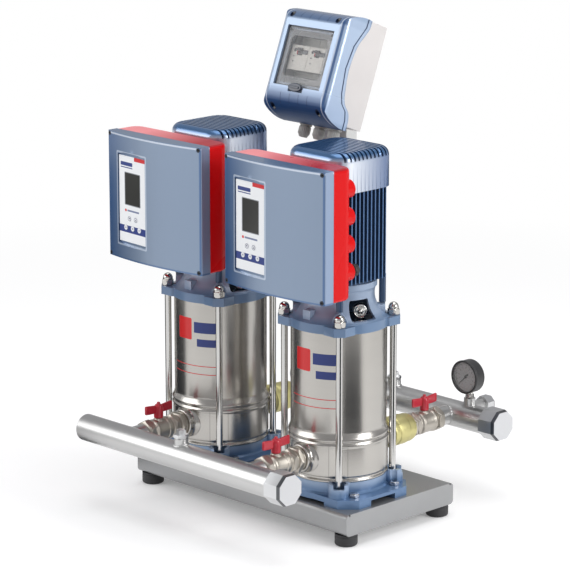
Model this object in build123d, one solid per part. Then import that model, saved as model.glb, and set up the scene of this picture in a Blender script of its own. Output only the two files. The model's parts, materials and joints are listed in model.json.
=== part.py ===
from math import cos, radians, sin, sqrt, tan
import os

from build123d import *

# Booster pump set: two vertical multistage pumps with frequency inverters stand on one folded
# tray, between a suction manifold in front and a delivery manifold behind, with a tilted
# control box on a post. Millimetres. The origin is on the floor under the middle of the tray,
# X runs along the manifolds, Y points to the back and Z is up.

# Tray and rubber feet
tray_length = 536.0
tray_width = 271.0
tray_height = 39.0
tray_sheet = 2.5
tray_bend_radius = 8.0
tray_end_return = 44.0
tray_side_return = 44.0
tray_notch = 3.5
foot_radius = 20.0
foot_height = 21.0
foot_inset = 20.0
foot_chamfer = 1.5
stud_radius = 4.0
stud_length = 12.0

# Places of the two pumps: the inset runs from the tray's end to the pump's axis
pump_inset = 118.0
pump_y = -35.5

# Cast pump foot
casting_length = 218.0
casting_width = 172.0
casting_corner = 27.0
casting_plate = 16.0
casting_ring_height = 21.0
casting_ring_radius = 85.5
casting_skirt = 3.5
casting_bore_radius = 66.0
casting_deck = 8.0
front_arch_width = 100.0
front_arch_height = 6.0
side_arch_width = 60.0
side_arch_height = 10.0
foot_bolt_x = 88.0
foot_bolt_y = 50.0
foot_bolt_radius = 5.0
foot_bolt_flats = 16.0
foot_bolt_head = 6.5
foot_bolt_length = 30.0
cup_radius = 19.0
cup_bore_radius = 13.0
cup_rise = 24.0
cup_floor = 8.0
cup_notch_width = 19.0
cup_notch_depth = 8.0

# Tie rods and cap nuts
rod_reach = 94.6
rod_radius = 6.0
cap_nut_flats = 19.0
cap_nut_hex = 11.0
cap_nut_height = 22.5
cap_nut_depth = 15.0

# Stainless casing
casing_height = 265.0
casing_radius = 84.0
barrel_radius = 87.0
casing_wall = 2.5
barrel_height = 79.0
bead_rise = 1.2
step_height = 8.0
port_height = 40.0
port_radius = 25.0
port_flare = 4.0
port_reach = 99.0
port_bore_radius = 13.0

# Lantern bracket between casing and motor
lantern_height = 80.0
lantern_flange = 16.0
lantern_flange_radius = 87.0
lantern_waist_radius = 63.0
lantern_wall = 8.0
lantern_neck = 14.0
ear_thickness = 15.0
ear_reach = 106.0
ear_tip_half = 10.0
ear_root_half = 27.0
lug_half = 13.5
lug_height = 22.0
lug_reach = 80.0
lug_rim = 3.0
window_turn = -11.0
window_low_half = 25.0
window_top_half = 19.0
window_height = 34.0
window_rise = 19.0
pad_half = 8.5
pad_height = 20.0
pad_reach = 80.0

# Motor
motor_length = 164.0
motor_core_radius = 62.0
motor_bore_radius = 54.0
fin_half = 67.5
fin_corner = 32.0
fin_pitch = 9.5
fin_count = 11
fin_thickness = 2.6
shield_thickness = 12.0
saddle_width = 96.0
saddle_height = 150.0
saddle_reach = 88.0
saddle_rise = 30.0
motor_lug_radius = 6.0
motor_lug_length = 48.0
cowl_overhang = 2.5
cowl_wall = 3.5
cowl_height = 69.0
cowl_edge = 15.0
slot_pitch = 9.5
slot_width = 4.0
slot_count = 12
slot_drop = 14.5

# Rotating parts
shaft_radius = 8.0
running_clearance = 0.05
rotor_radius = 29.7
stator_bore = 30.3
stator_length = 100.0
stator_rise = 24.0
bearing_radius = 17.5
bearing_width = 10.0
bush_radius = 13.0
bush_length = 12.0
stage_count = 5
stage_pitch = 30.0
impeller_radius = 60.0
impeller_thickness = 9.0
impeller_hub_radius = 13.0
diffuser_wall = 3.0
diffuser_eye = 20.0
seal_plate_thickness = 10.0
seal_radius = 15.0
seal_length = 11.0
fan_radius = 52.0
fan_hub_radius = 13.0
fan_height = 22.0
fan_blades = 7
fan_blade_thickness = 2.5

# Priming and vent plug seen through the lantern window
vent_x = 45.0
vent_y = 6.0
vent_flats = 24.0
vent_height = 24.0
vent_ring_radius = 13.5
vent_ring_length = 14.0
vent_bore_radius = 6.5

# Frequency inverter
inverter_width = 242.0
inverter_height = 226.0
inverter_drop = 2.0
inverter_front = 158.0
inverter_split = 137.0
inverter_corner = 22.0
inverter_edge = 6.0
inverter_wall = 3.0
cover_bulge = 12.0
cover_edge = 2.0
cover_screw_x = 115.0
cover_screw_z = 108.5
cover_screw_radius = 3.6
boss_radius = 15.7
boss_inset = 17.5
boss_pitch = 47.5
boss_low = 45.0
boss_depth = 28.0
boss_stand = 5.0
boss_count = 4
panel_x = -50.0
panel_rise = 109.5
panel_width = 79.0
panel_height = 158.0
panel_arch = 6.0
panel_thickness = 1.5
panel_recess = 3.5
panel_margin = 1.5
key_radius = 4.6
key_height = 3.2
key_stand = 0.8
key_travel = 0.8
key_clearance = 0.15

# Control box: local places are across, up the face, and back from the window
box_face_y = 30.2
box_face_z = 800.7
box_tilt = 21.0
box_width = 154.0
box_corner = 14.0
box_wall = 3.0
box_depth = 103.0
box_lip = 4.0
box_front_wall = 9.5
box_joint_gap = 0.3
box_screw_x = 56.0
box_screw_high = 74.0
box_screw_low = -91.0
box_screw_radius = 4.4
box_screw_length = 12.0
glass_width = 112.5
glass_height = 106.6
glass_thickness = 2.5
glass_clearance = 0.5
glass_ledge = 6.0
tongue_width = 34.0
tongue_reach = 9.2
hinge_radius = 1.5
hinge_pin_length = 3.0
hinge_drop = 2.4
latch_drop = 55.0
latch_length = 32.0
latch_width = 15.0
latch_head = 5.0
latch_neck_radius = 2.5
latch_well = 6.6
breaker_width = 42.5
breaker_nose = 45.0
breaker_body = 84.0
breaker_front = 11.0
breaker_shoulder = 32.0
breaker_back = 76.0
lever_rise = 11.0
lever_width = 11.0
lever_hub_radius = 6.0
lever_nose = 5.0
lever_angle = 25.0
lever_clearance = 0.4
gland_radius = 11.0
gland_length = 30.0
gland_pitch = 36.0
gland_depth = 82.0

# Post that carries the control box
post_width = 70.0
post_depth = 26.0
post_wall = 3.0
post_y = 112.0
post_plate = 3.0
post_plate_half = 60.0
post_plate_low = -96.0
post_plate_high = 60.0
post_foot = 5.0

# Manifolds
pipe_radius = 24.15
pipe_bore_radius = 21.3
pipe_overhang = 102.0
suction_reach = 236.0
delivery_reach = 301.0
stub_radius = 16.85
socket_radius = 12.5
socket_height = 34.0
cap_flats = 54.7
cap_depth = 19.0
cap_length = 37.0
cap_chamfer = 7.0
cap_chamfer_inset = 2.2
plug_flats = 24.0
plug_flange = 7.0
plug_head_flats = 13.0
plug_head = 8.0
plug_shank_radius = 8.0
plug_shank = 12.0
vessel_stub_radius = 10.65
vessel_stub_end = 388.0
vessel_cap_flats = 30.0
vessel_cap_length = 20.0
thread_clearance = 0.1

# Union nuts, ball valves and check valves
nut_flats = 42.0
nut_length = 18.0
link_length = 8.0
valve_half = 36.0
valve_body_radius = 20.5
valve_hex_flats = 40.0
valve_hex_length = 15.0
valve_thread_radius = 18.5
ball_radius = 15.0
ball_clearance = 0.3
ball_bore_radius = 10.5
stem_radius = 4.0
gland_neck_radius = 8.0
gland_neck_rise = 21.5
handle_gap = 0.5
handle_hub_radius = 8.5
handle_height = 25.0
handle_length = 64.0
handle_thickness = 4.5
handle_low = 9.0
handle_root_top = 21.0
handle_tip_top = 26.0
handle_knob_radius = 3.0
handle_knob = 4.0
check_length = 60.0
check_radius = 27.0
check_chamber_radius = 20.0
check_seat = 12.0
check_chamber_length = 36.0
poppet_radius = 15.5
poppet_thickness = 4.0
poppet_stem_radius = 2.5
poppet_travel = 8.0
poppet_gap = 0.3
guide_thickness = 5.0
guide_width = 9.0

# Pressure gauge
gauge_offset = 38.0
gauge_radius = 31.0
gauge_depth = 28.0
gauge_rise = 77.8
gauge_lead = 18.0
gauge_wall = 2.5
gauge_rim = 4.0
gauge_floor = 7.0
glass_seat = 1.5
lens_thickness = 2.0
needle_length = 20.0
needle_tail = 8.0
needle_width = 1.8
needle_hub_radius = 3.0
needle_thickness = 1.2
needle_gap = 0.6
needle_pin_radius = 1.0
needle_angle = 225.0
gauge_socket_height = 37.0
gauge_stem_flats = 14.0
gauge_stem_radius = 6.0

# Places and heights worked out from the sizes above
pump_spacing = tray_length - 2 * pump_inset
pipe_length = pump_spacing + 2 * pipe_overhang
gauge_x = pump_spacing / 2 + gauge_offset
tray_top = foot_height + tray_height
casing_bottom = tray_top + casting_plate + casting_ring_height
casing_top = casing_bottom + casing_height
lantern_top = casing_top + lantern_height
motor_top = lantern_top + motor_length
inverter_bottom = lantern_top - inverter_drop
port_z = casing_bottom + port_height
check_start = port_reach + nut_length
suction_valve_reach = check_start + valve_half
delivery_valve_reach = check_start + check_length + link_length + valve_half
ear_top = casing_top + ear_thickness
rod_offset = rod_reach / sqrt(2)
pump_places = {"left": -pump_spacing / 2, "right": pump_spacing / 2}
corner_signs = [(i, j) for i in (-1, 1) for j in (-1, 1)]


def upright(radius, bottom, top, x=0.0, y=0.0):
    return Pos(x, y, (bottom + top) / 2) * Cylinder(radius, top - bottom)


def along_y(radius, front, back, x, z):
    return Pos(x, (front + back) / 2, z) * Rot(90, 0, 0) * Cylinder(radius, back - front)


def along_x(radius, left, right, y, z):
    return Pos((left + right) / 2, y, z) * Rot(0, 90, 0) * Cylinder(radius, right - left)


def block(x0, x1, y0, y1, z0, z1):
    return Pos((x0 + x1) / 2, (y0 + y1) / 2, (z0 + z1) / 2) * Box(x1 - x0, y1 - y0, z1 - z0)


def prism(flats, length, sides=6, turn=0.0):
    # a bar with flat sides that stands on the XY plane
    return extrude(RegularPolygon(flats / 2, sides, major_radius=False, rotation=turn), length)


def turned(points):
    # a solid of revolution about Z from (radius, height) points
    return revolve(Plane.XZ * make_face(Polyline(*points, close=True)), Axis.Z)


def group(*shapes):
    return Compound(children=[solid for shape in shapes for solid in shape.solids()])


def both_pumps(shape):
    return group(*[Pos(x, pump_y, 0) * shape for x in pump_places.values()])


def ring(outer, inner, bottom, top):
    return upright(outer, bottom, top) - upright(inner, bottom - 1, top + 1)


def make_tray():
    middle = foot_height + tray_height / 2

    def channel(shrink):
        section = RectangleRounded(
            tray_width - 2 * shrink, tray_height - 2 * shrink, tray_bend_radius - shrink
        )
        half = tray_length / 2 - shrink
        return Pos(0, 0, middle) * extrude(Plane.YZ * section, half, both=True)

    tray = channel(0) - channel(tray_sheet)
    tray -= Pos(0, 0, foot_height) * Box(
        tray_length - 2 * tray_end_return, tray_width - 2 * tray_side_return, 3 * tray_sheet
    )
    for i, j in corner_signs:
        # bend relief at each corner of the top sheet
        tray -= Pos(
            i * tray_length / 2, j * (tray_width / 2 - tray_bend_radius), tray_top
        ) * Box(2 * tray_notch, tray_notch, 2 * tray_notch)
        tray -= upright(
            stud_radius + thread_clearance, 0, foot_height + 2 * tray_sheet,
            i * (tray_length / 2 - foot_inset), j * (tray_width / 2 - foot_inset),
        )
    for x in pump_places.values():
        for i, j in corner_signs:
            tray -= upright(
                foot_bolt_radius + thread_clearance, tray_top - 2 * tray_sheet, tray_top + 1,
                x + i * foot_bolt_x, pump_y + j * foot_bolt_y,
            )
    return tray


def make_rubber_feet():
    foot = turned([
        (0, 0), (foot_radius - foot_chamfer, 0), (foot_radius, foot_chamfer),
        (foot_radius, foot_height), (stud_radius, foot_height),
        (stud_radius, foot_height + stud_length), (0, foot_height + stud_length),
    ])
    return group(*[
        Pos(i * (tray_length / 2 - foot_inset), j * (tray_width / 2 - foot_inset), 0) * foot
        for i, j in corner_signs
    ])


def make_base_bolts():
    seat = tray_top + casting_plate
    bolt = upright(foot_bolt_radius, seat - foot_bolt_length, seat)
    bolt += Pos(0, 0, seat) * prism(foot_bolt_flats, foot_bolt_head)
    nut = prism(foot_bolt_flats, foot_bolt_head) - upright(
        foot_bolt_radius + thread_clearance, -1, foot_bolt_head + 1
    )
    nut = Pos(0, 0, tray_top - tray_sheet - foot_bolt_head) * nut
    stud_nut = prism(foot_bolt_flats, foot_bolt_head) - upright(
        stud_radius + thread_clearance, -1, foot_bolt_head + 1
    )
    stud_nut = Pos(0, 0, foot_height + tray_sheet) * stud_nut
    pieces = []
    for i, j in corner_signs:
        for x in pump_places.values():
            place = Pos(x + i * foot_bolt_x, pump_y + j * foot_bolt_y, 0)
            pieces += [place * bolt, place * nut]
        pieces.append(
            Pos(i * (tray_length / 2 - foot_inset), j * (tray_width / 2 - foot_inset), 0)
            * stud_nut
        )
    return group(*pieces)


def make_pump_feet():
    half_x = casting_length / 2
    half_y = casting_width / 2
    outline = [
        (half_x, half_y - casting_corner), (half_x - casting_corner, half_y),
        (casting_corner - half_x, half_y), (-half_x, half_y - casting_corner),
        (-half_x, casting_corner - half_y), (casting_corner - half_x, -half_y),
        (half_x - casting_corner, -half_y), (half_x, casting_corner - half_y),
    ]
    plate = extrude(make_face(Polyline(*outline, close=True)), casting_plate)
    plate = Pos(0, 0, tray_top) * plate
    top = casing_bottom
    skirt_top = tray_top + casting_plate
    foot = plate + turned([
        (0, tray_top), (casting_ring_radius + casting_skirt, tray_top),
        (casting_ring_radius + casting_skirt, skirt_top),
        (casting_ring_radius, skirt_top + casting_skirt), (casting_ring_radius, top), (0, top),
    ])
    for i, j in corner_signs:
        cup_x = i * rod_offset
        cup_y = j * rod_offset
        cup_top = skirt_top + cup_rise
        foot += upright(cup_radius, tray_top, cup_top, cup_x, cup_y)
    # the casing stands inside the cups, on the deck
    foot -= upright(barrel_radius + box_joint_gap, top, top + cup_rise)
    for i, j in corner_signs:
        cup_x = i * rod_offset
        cup_y = j * rod_offset
        cup_top = skirt_top + cup_rise
        foot -= upright(cup_bore_radius, skirt_top + cup_floor, cup_top + 1, cup_x, cup_y)
        notch = block(
            rod_reach, rod_reach + 2 * cup_radius, -cup_notch_width / 2, cup_notch_width / 2,
            cup_top - cup_notch_depth, cup_top + 1,
        )
        foot -= Rot(0, 0, 45 * j * (2 - i)) * notch
        foot -= upright(
            foot_bolt_radius + thread_clearance, tray_top - 1, skirt_top + 1,
            i * foot_bolt_x, j * foot_bolt_y,
        )
        foot -= upright(
            foot_bolt_flats / 2 + 3, skirt_top, skirt_top + cup_rise,
            i * foot_bolt_x, j * foot_bolt_y,
        )
    foot -= upright(casting_bore_radius, tray_top - 1, top - casting_deck)
    foot -= block(
        -front_arch_width / 2, front_arch_width / 2, -casting_width, casting_width,
        tray_top - 1, tray_top + front_arch_height,
    )
    foot -= block(
        -casting_length, casting_length, -side_arch_width / 2, side_arch_width / 2,
        tray_top - 1, tray_top + side_arch_height,
    )
    return both_pumps(foot)


def make_casings():
    inner = barrel_radius - casing_wall
    upper_inner = casing_radius - casing_wall
    step = casing_bottom + barrel_height
    casing = turned([
        (0, casing_bottom), (barrel_radius, casing_bottom),
        (barrel_radius, casing_bottom + 4), (barrel_radius - 2, casing_bottom + 6),
        (barrel_radius - 2, casing_bottom + 9), (barrel_radius, casing_bottom + 11),
        (barrel_radius, step - 16), (barrel_radius + bead_rise, step - 13),
        (barrel_radius, step - 10), (barrel_radius - 1, step - 8),
        (barrel_radius, step - 6), (barrel_radius + bead_rise, step - 3),
        (barrel_radius, step), (casing_radius, step + step_height),
        (casing_radius, casing_top), (upper_inner, casing_top),
        (upper_inner, step + step_height), (inner - 2, step), (inner - 2, casing_bottom + 3),
        (bush_radius + 4, casing_bottom + 3), (bush_radius + 4, casing_bottom + 3 + bush_length),
        (bush_radius, casing_bottom + 3 + bush_length), (bush_radius, casing_bottom + 3),
        (0, casing_bottom + 3),
    ])
    hollow = turned([
        (0, casing_bottom + 3), (inner - 2, casing_bottom + 3), (inner - 2, step), (0, step),
    ])
    collars = []
    for side in (-1, 1):
        collar = turned([
            (0, 0), (port_radius + port_flare, 0),
            (port_radius + port_flare, barrel_radius + 1),
            (port_radius, barrel_radius + port_flare), (port_radius, port_reach), (0, port_reach),
        ])
        collars.append(Pos(0, 0, port_z) * Rot(-90 * side, 0, 0) * collar)
    casing = casing + ((collars[0] + collars[1]) - hollow)
    casing -= along_y(port_bore_radius, -port_reach - 1, -barrel_radius / 2, 0, port_z)
    casing -= along_y(port_bore_radius, barrel_radius / 2, port_reach + 1, 0, port_z)
    return both_pumps(casing)


def make_tie_rods():
    bottom = tray_top + casting_plate + cup_floor
    rod = upright(rod_radius, bottom, ear_top + cap_nut_depth - 1)
    return both_pumps(group(*[
        Pos(i * rod_offset, j * rod_offset, 0) * rod for i, j in corner_signs
    ]))


def make_cap_nuts():
    nut = prism(cap_nut_flats, cap_nut_hex)
    dome_radius = cap_nut_flats / 2 - 0.5
    nut += upright(dome_radius, 0, cap_nut_height - dome_radius)
    nut += Pos(0, 0, cap_nut_height - dome_radius) * Sphere(dome_radius)
    nut -= upright(rod_radius + thread_clearance, -1, cap_nut_depth)
    return both_pumps(group(*[
        Pos(i * rod_offset, j * rod_offset, ear_top) * nut for i, j in corner_signs
    ]))


def make_lanterns():
    low = casing_top
    cone_low = low + lantern_flange
    neck = lantern_top - lantern_neck
    outside = Polyline(
        (0, low), (lantern_flange_radius, low), (lantern_flange_radius, cone_low)
    )
    cone = ThreePointArc(
        (lantern_flange_radius, cone_low),
        (lantern_waist_radius + 0.3 * (lantern_flange_radius - lantern_waist_radius),
         cone_low + 0.27 * (neck - cone_low)),
        (lantern_waist_radius, neck),
    )
    head = Polyline(
        (lantern_waist_radius, neck), (motor_core_radius + 4, neck + 4),
        (motor_core_radius + 4, lantern_top), (0, lantern_top), (0, low),
    )
    lantern = revolve(Plane.XZ * make_face(outside + cone + head), Axis.Z)
    ear = make_face(Polyline(
        (lantern_flange_radius / 2, -ear_root_half), (lantern_flange_radius, -ear_root_half),
        (ear_reach - 4, -ear_tip_half - 2), (ear_reach, -ear_tip_half),
        (ear_reach, ear_tip_half), (ear_reach - 4, ear_tip_half + 2),
        (lantern_flange_radius, ear_root_half), (lantern_flange_radius / 2, ear_root_half),
        close=True,
    ))
    ear = Pos(0, 0, low) * extrude(ear, ear_thickness)

    def arch(half, height, start, end):
        # a pointed arch, seen along the radius, that runs from start to end
        outline = make_face(Polyline((-half, 0), (half, 0), (half, height - 1.4 * half))
                            + ThreePointArc((half, height - 1.4 * half),
                                            (0.66 * half, height - 0.55 * half), (0, height))
                            + ThreePointArc((0, height), (-0.66 * half, height - 0.55 * half),
                                            (-half, height - 1.4 * half))
                            + Polyline((-half, height - 1.4 * half), (-half, 0)))
        return Pos(start, 0, ear_top) * extrude(Plane.YZ * outline, end - start)

    for turn in (45, 135, 225, 315):
        lantern += Rot(0, 0, turn) * (ear + arch(lug_half, lug_height, 50, lug_reach))
    for side in (-1, 1):
        lantern += block(
            -pad_half, pad_half, min(side * 50, side * pad_reach),
            max(side * 50, side * pad_reach), cone_low, cone_low + pad_height,
        )
    lantern -= turned([
        (0, low - 1), (lantern_flange_radius - lantern_wall, low - 1),
        (lantern_flange_radius - lantern_wall, cone_low - 2),
        (lantern_waist_radius - lantern_wall + 6, cone_low + 14),
        (lantern_waist_radius - lantern_wall, neck), (lantern_waist_radius - lantern_wall, lantern_top + 1),
        (0, lantern_top + 1),
    ])
    for turn in (45, 135, 225, 315):
        pocket = arch(lug_half - lug_rim, lug_height - lug_rim, lug_reach - 9, lug_reach + 1)
        pocket += upright(cap_nut_flats / 2 + 3, ear_top, ear_top + cap_nut_height + 2, rod_reach)
        pocket += upright(rod_radius + 0.5, low - 1, ear_top + 1, rod_reach)
        lantern -= Rot(0, 0, turn) * pocket
    window = make_face(Polyline(
        (-window_low_half, 0), (window_low_half, 0), (window_top_half, window_height),
        (-window_top_half, window_height), close=True,
    ))
    window = fillet(window.vertices(), 3)
    window = Pos(40, 0, low + window_rise) * extrude(Plane.YZ * window, 80)
    for turn in (window_turn, window_turn + 180):
        lantern -= Rot(0, 0, turn) * window
    return both_pumps(lantern)


def make_motor_housings():
    low = lantern_top
    high = motor_top
    body = upright(motor_core_radius, low, high)
    fins = None
    reach = fin_half + 1
    envelope = RectangleRounded(2 * fin_half, 2 * fin_half, fin_corner)
    for k in range(fin_count):
        offset = (k - (fin_count - 1) / 2) * fin_pitch
        half = fin_thickness / 2
        pair = block(-reach, reach, offset - half, offset + half, low + 4, high)
        pair += block(offset - half, offset + half, -reach, reach, low + 4, high)
        fins = pair if fins is None else fins + pair
    body += fins & (Pos(0, 0, low + 4) * extrude(envelope, high - low - 4))
    # pad that carries the inverter
    pad_low = inverter_bottom + saddle_rise
    saddle = block(-saddle_width / 2, saddle_width / 2, -saddle_reach, 0,
                   pad_low, min(pad_low + saddle_height, high))
    body += saddle
    lug_low = low + motor_lug_radius - motor_lug_length
    for turn in (45, 135, 225, 315):
        lug = upright(motor_lug_radius, lug_low, low + 8, motor_core_radius + 13)
        lug += block(
            motor_core_radius - 4, motor_core_radius + 13, -motor_lug_radius / 2,
            motor_lug_radius / 2, low, low + 8,
        )
        body += Rot(0, 0, turn) * lug
    body -= turned([
        (0, low - 1), (shaft_radius + 2, low - 1), (shaft_radius + 2, low + 2),
        (bearing_radius, low + 2), (bearing_radius, low + shield_thickness),
        (motor_bore_radius, low + shield_thickness), (motor_bore_radius, high - shield_thickness),
        (bearing_radius, high - shield_thickness), (bearing_radius, high - 2),
        (shaft_radius + 2, high - 2), (shaft_radius + 2, high + 1), (0, high + 1),
    ])
    return both_pumps(body)


def make_stators():
    low = lantern_top + shield_thickness + stator_rise
    return both_pumps(ring(motor_bore_radius, stator_bore, low, low + stator_length))


def make_bearings():
    low = lantern_top + 2
    high = motor_top - 2 - bearing_width
    inner = shaft_radius + running_clearance
    return both_pumps(group(
        ring(bearing_radius, inner, low, low + bearing_width),
        ring(bearing_radius, inner, high, high + bearing_width),
        ring(bush_radius, inner, casing_bottom + 3, casing_bottom + 3 + bush_length),
    ))


def make_shaft():
    low = casing_bottom + 3.3
    high = motor_top + fan_height + 14
    rotor_low = lantern_top + shield_thickness + stator_rise
    shaft = upright(shaft_radius, low, high)
    return shaft + upright(rotor_radius, rotor_low, rotor_low + stator_length)


def stage_heights():
    # floors of the stacked cups, from the top one under the seal plate downwards
    top = casing_top - seal_plate_thickness
    return [top - (k + 1) * stage_pitch for k in range(stage_count)]


def make_impellers():
    impellers = []
    for z in stage_heights():
        rise = z + diffuser_wall + 2
        wheel = ring(impeller_radius, shaft_radius, rise, rise + impeller_thickness)
        wheel += ring(impeller_hub_radius, shaft_radius, rise - 4, rise + impeller_thickness + 4)
        impellers.append(wheel)
    return group(*impellers)


def make_diffusers():
    outer = casing_radius - casing_wall - box_joint_gap
    cups = []
    for z in stage_heights():
        cup = turned([
            (diffuser_eye, z), (outer, z), (outer, z + stage_pitch),
            (outer - diffuser_wall, z + stage_pitch), (outer - diffuser_wall, z + diffuser_wall),
            (diffuser_eye, z + diffuser_wall),
        ])
        cups.append(cup)
    return both_pumps(group(*cups))


def make_seal_plates():
    plate = ring(
        casing_radius - casing_wall - box_joint_gap, shaft_radius + 1,
        casing_top - seal_plate_thickness, casing_top,
    )
    return both_pumps(plate)


def make_shaft_seals():
    top = casing_top - seal_plate_thickness
    inner = shaft_radius + running_clearance
    return both_pumps(ring(seal_radius, inner, top - seal_length, top))


def make_fan():
    low = motor_top + 8
    fan = upright(fan_hub_radius, low, low + fan_height)
    blades = None
    for k in range(fan_blades):
        blade = block(0, fan_radius, -fan_blade_thickness / 2, fan_blade_thickness / 2,
                      low, low + fan_height)
        blade = Rot(0, 0, 360 * k / fan_blades) * blade
        blades = blade if blades is None else blades + blade
    fan = fan + blades + upright(fan_radius, low, low + 2)
    return fan - upright(shaft_radius, low - 1, low + fan_height + 1)


def make_cowls():
    # rounded square cap over the fins, with slots that run over its top and down two sides
    high = motor_top + cowl_height
    cowl_half = fin_half + cowl_overhang
    cowl_corner = fin_corner + cowl_overhang

    def shell(shrink):
        section = RectangleRounded(
            2 * (cowl_half - shrink), 2 * (cowl_half - shrink), cowl_corner - shrink
        )
        cap = Pos(0, 0, motor_top) * extrude(section, cowl_height - shrink)
        return fillet(cap.faces().sort_by(Axis.Z)[-1].edges(), cowl_edge - shrink)

    cowl = shell(0) - shell(cowl_wall)
    # stiffening bar under the slotted top
    bar_top = high - cowl_wall
    bar = block(-5, 5, cowl_wall - cowl_half, cowl_half - cowl_wall,
                high - slot_drop - cowl_wall, bar_top)
    bar = bar & shell(cowl_wall - box_joint_gap)
    for k in range(slot_count):
        y = (k - (slot_count - 1) / 2) * slot_pitch
        cowl -= block(
            -cowl_half - 1, cowl_half + 1, y - slot_width / 2, y + slot_width / 2,
            high - slot_drop, high + 1,
        )
    return both_pumps(cowl + bar)


def make_vent_plugs():
    low = casing_top
    plug = Pos(0, 0, low) * prism(vent_flats, vent_height, turn=15)
    centre = low + vent_height + vent_ring_radius - 8
    eye = Pos(0, 0, centre) * Rot(90, 0, 0) * Cylinder(vent_ring_radius, vent_ring_length)
    eye -= Pos(0, -vent_ring_length / 2, centre) * Rot(90, 0, 0) * Cylinder(
        vent_bore_radius, vent_ring_length
    )
    return both_pumps(Pos(vent_x, vent_y, 0) * Rot(0, 0, 45) * (plug + eye))


def inverter_face(x):
    # distance in front of the pump axis of the bowed cover face at x
    half = inverter_width / 2
    return inverter_front + cover_bulge * (1 - (x / half) ** 2)


def inverter_plan(shrink, front, back):
    # outline from above: straight sides and large rounded corners at the back
    half = inverter_width / 2 - shrink
    r = inverter_corner - shrink
    return make_face(
        Polyline((-half, -front), (half, -front), (half, -back - r))
        + RadiusArc((half, -back - r), (half - r, -back), -r)
        + Polyline((half - r, -back), (r - half, -back))
        + RadiusArc((r - half, -back), (-half, -back - r), -r)
        + Polyline((-half, -back - r), (-half, -front))
    )


def make_inverter_housings():
    back = saddle_reach
    high = inverter_bottom + inverter_height
    housing = extrude(inverter_plan(0, inverter_split, back), inverter_height)
    ends = housing.faces().filter_by(Axis.Z).edges()
    ends = [e for e in ends if e.center().Y > 1 - inverter_split]
    housing = Pos(0, 0, inverter_bottom) * fillet(ends, inverter_edge)
    x = inverter_width / 2 - boss_inset
    for k in range(boss_count):
        z = inverter_bottom + boss_low + k * boss_pitch
        housing += along_y(boss_radius, -back - boss_depth, boss_stand - back, x, z)
    hollow = extrude(
        inverter_plan(inverter_wall, inverter_split + 1, back + inverter_wall),
        inverter_height - 2 * inverter_wall,
    )
    housing -= Pos(0, 0, inverter_bottom + inverter_wall) * hollow
    # black gland in the lowest cable boss
    z = inverter_bottom + boss_low
    seat = boss_stand - back
    gland = along_y(gland_radius - 1, seat, seat + 14, x, z)
    gland += along_y(gland_radius + 0.5, seat + 2, seat + 9, x, z)
    return both_pumps(housing), Pos(pump_places["right"], pump_y, 0) * gland


def panel_plane():
    # the label panel lies in a pocket that follows the slope of the bowed cover
    low_x = panel_x - panel_width / 2
    high_x = panel_x + panel_width / 2
    rise = inverter_face(high_x) - inverter_face(low_x)
    depth = (inverter_face(high_x) + inverter_face(low_x)) / 2
    length = sqrt(panel_width ** 2 + rise ** 2)
    along = (panel_width / length, -rise / length, 0)
    outward = (-rise / length, -panel_width / length, 0)
    origin = (panel_x, -depth, inverter_bottom + panel_rise)
    return Plane(origin=origin, x_dir=along, z_dir=outward)


def arched(width, height, rise):
    # a rectangle whose top and bottom edges bow outwards
    w = width / 2
    h = height / 2
    return make_face(
        Line((-w, -h), (-w, h)) + ThreePointArc((-w, h), (0, h + rise), (w, h))
        + Line((w, h), (w, -h)) + ThreePointArc((w, -h), (0, -h - rise), (-w, -h))
    )


def key_places():
    # across and up from the middle of the panel: two keys above a row of three
    low_row = -panel_height / 2 + 27.5
    high_row = low_row + 17
    return {
        "up": (9.0, high_row), "down": (-9.0, high_row),
        "stop": (-19.5, low_row), "set": (0.0, low_row), "start": (19.5, low_row),
    }


def cover_plan(shrink, back):
    # outline from above of the cover: a bowed front with small bevels at its sides
    half = inverter_width / 2 - shrink
    front = inverter_front - shrink
    bevel = half - cover_edge
    return make_face(
        Polyline((half, -back), (half, cover_edge - front), (bevel, -front))
        + ThreePointArc((bevel, -front), (0, -front - cover_bulge), (-bevel, -front))
        + Polyline((-bevel, -front), (-half, cover_edge - front), (-half, -back), (half, -back))
    )


def make_inverter_covers():
    plane = panel_plane()
    cover = extrude(cover_plan(0, inverter_split), inverter_height)
    hollow = extrude(
        cover_plan(inverter_wall, inverter_split - 1), inverter_height - 2 * inverter_wall
    )
    backing = Box(panel_width + 2 * panel_margin + 6, panel_height + 2 * panel_arch + 8, 20)
    hollow = Pos(0, 0, inverter_bottom + inverter_wall) * hollow - plane * backing
    cover = Pos(0, 0, inverter_bottom) * cover - hollow
    recess = extrude(arched(panel_width, panel_height, panel_arch), -panel_recess)
    recess += extrude(arched(panel_width, panel_height, panel_arch), 10)
    cover -= plane * recess
    for across, up in key_places().values():
        cover -= plane * Pos(across, up, -panel_recess) * Cylinder(
            key_radius + 1, 2 * (key_height + key_travel)
        )
    middle = inverter_bottom + inverter_height / 2
    for i, j in corner_signs:
        x = i * cover_screw_x
        z = middle + j * cover_screw_z
        cover -= along_y(cover_screw_radius + 0.4, -inverter_front - 4, 1 - inverter_split, x, z)
    return both_pumps(cover)


def make_panels():
    plane = panel_plane()
    panel = Rectangle(panel_width - 2 * panel_margin, panel_height - 2 * panel_margin)
    panel = extrude(panel, panel_thickness)
    for across, up in key_places().values():
        panel -= Pos(across, up, 0) * Cylinder(key_radius + key_clearance, 4 * panel_thickness)
    return both_pumps(plane * Pos(0, 0, -panel_recess) * panel)


def make_key(across, up):
    plane = panel_plane()
    top = panel_thickness - panel_recess + key_stand
    key = Pos(across, up, top - key_height / 2) * Cylinder(key_radius, key_height)
    return plane * key


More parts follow.
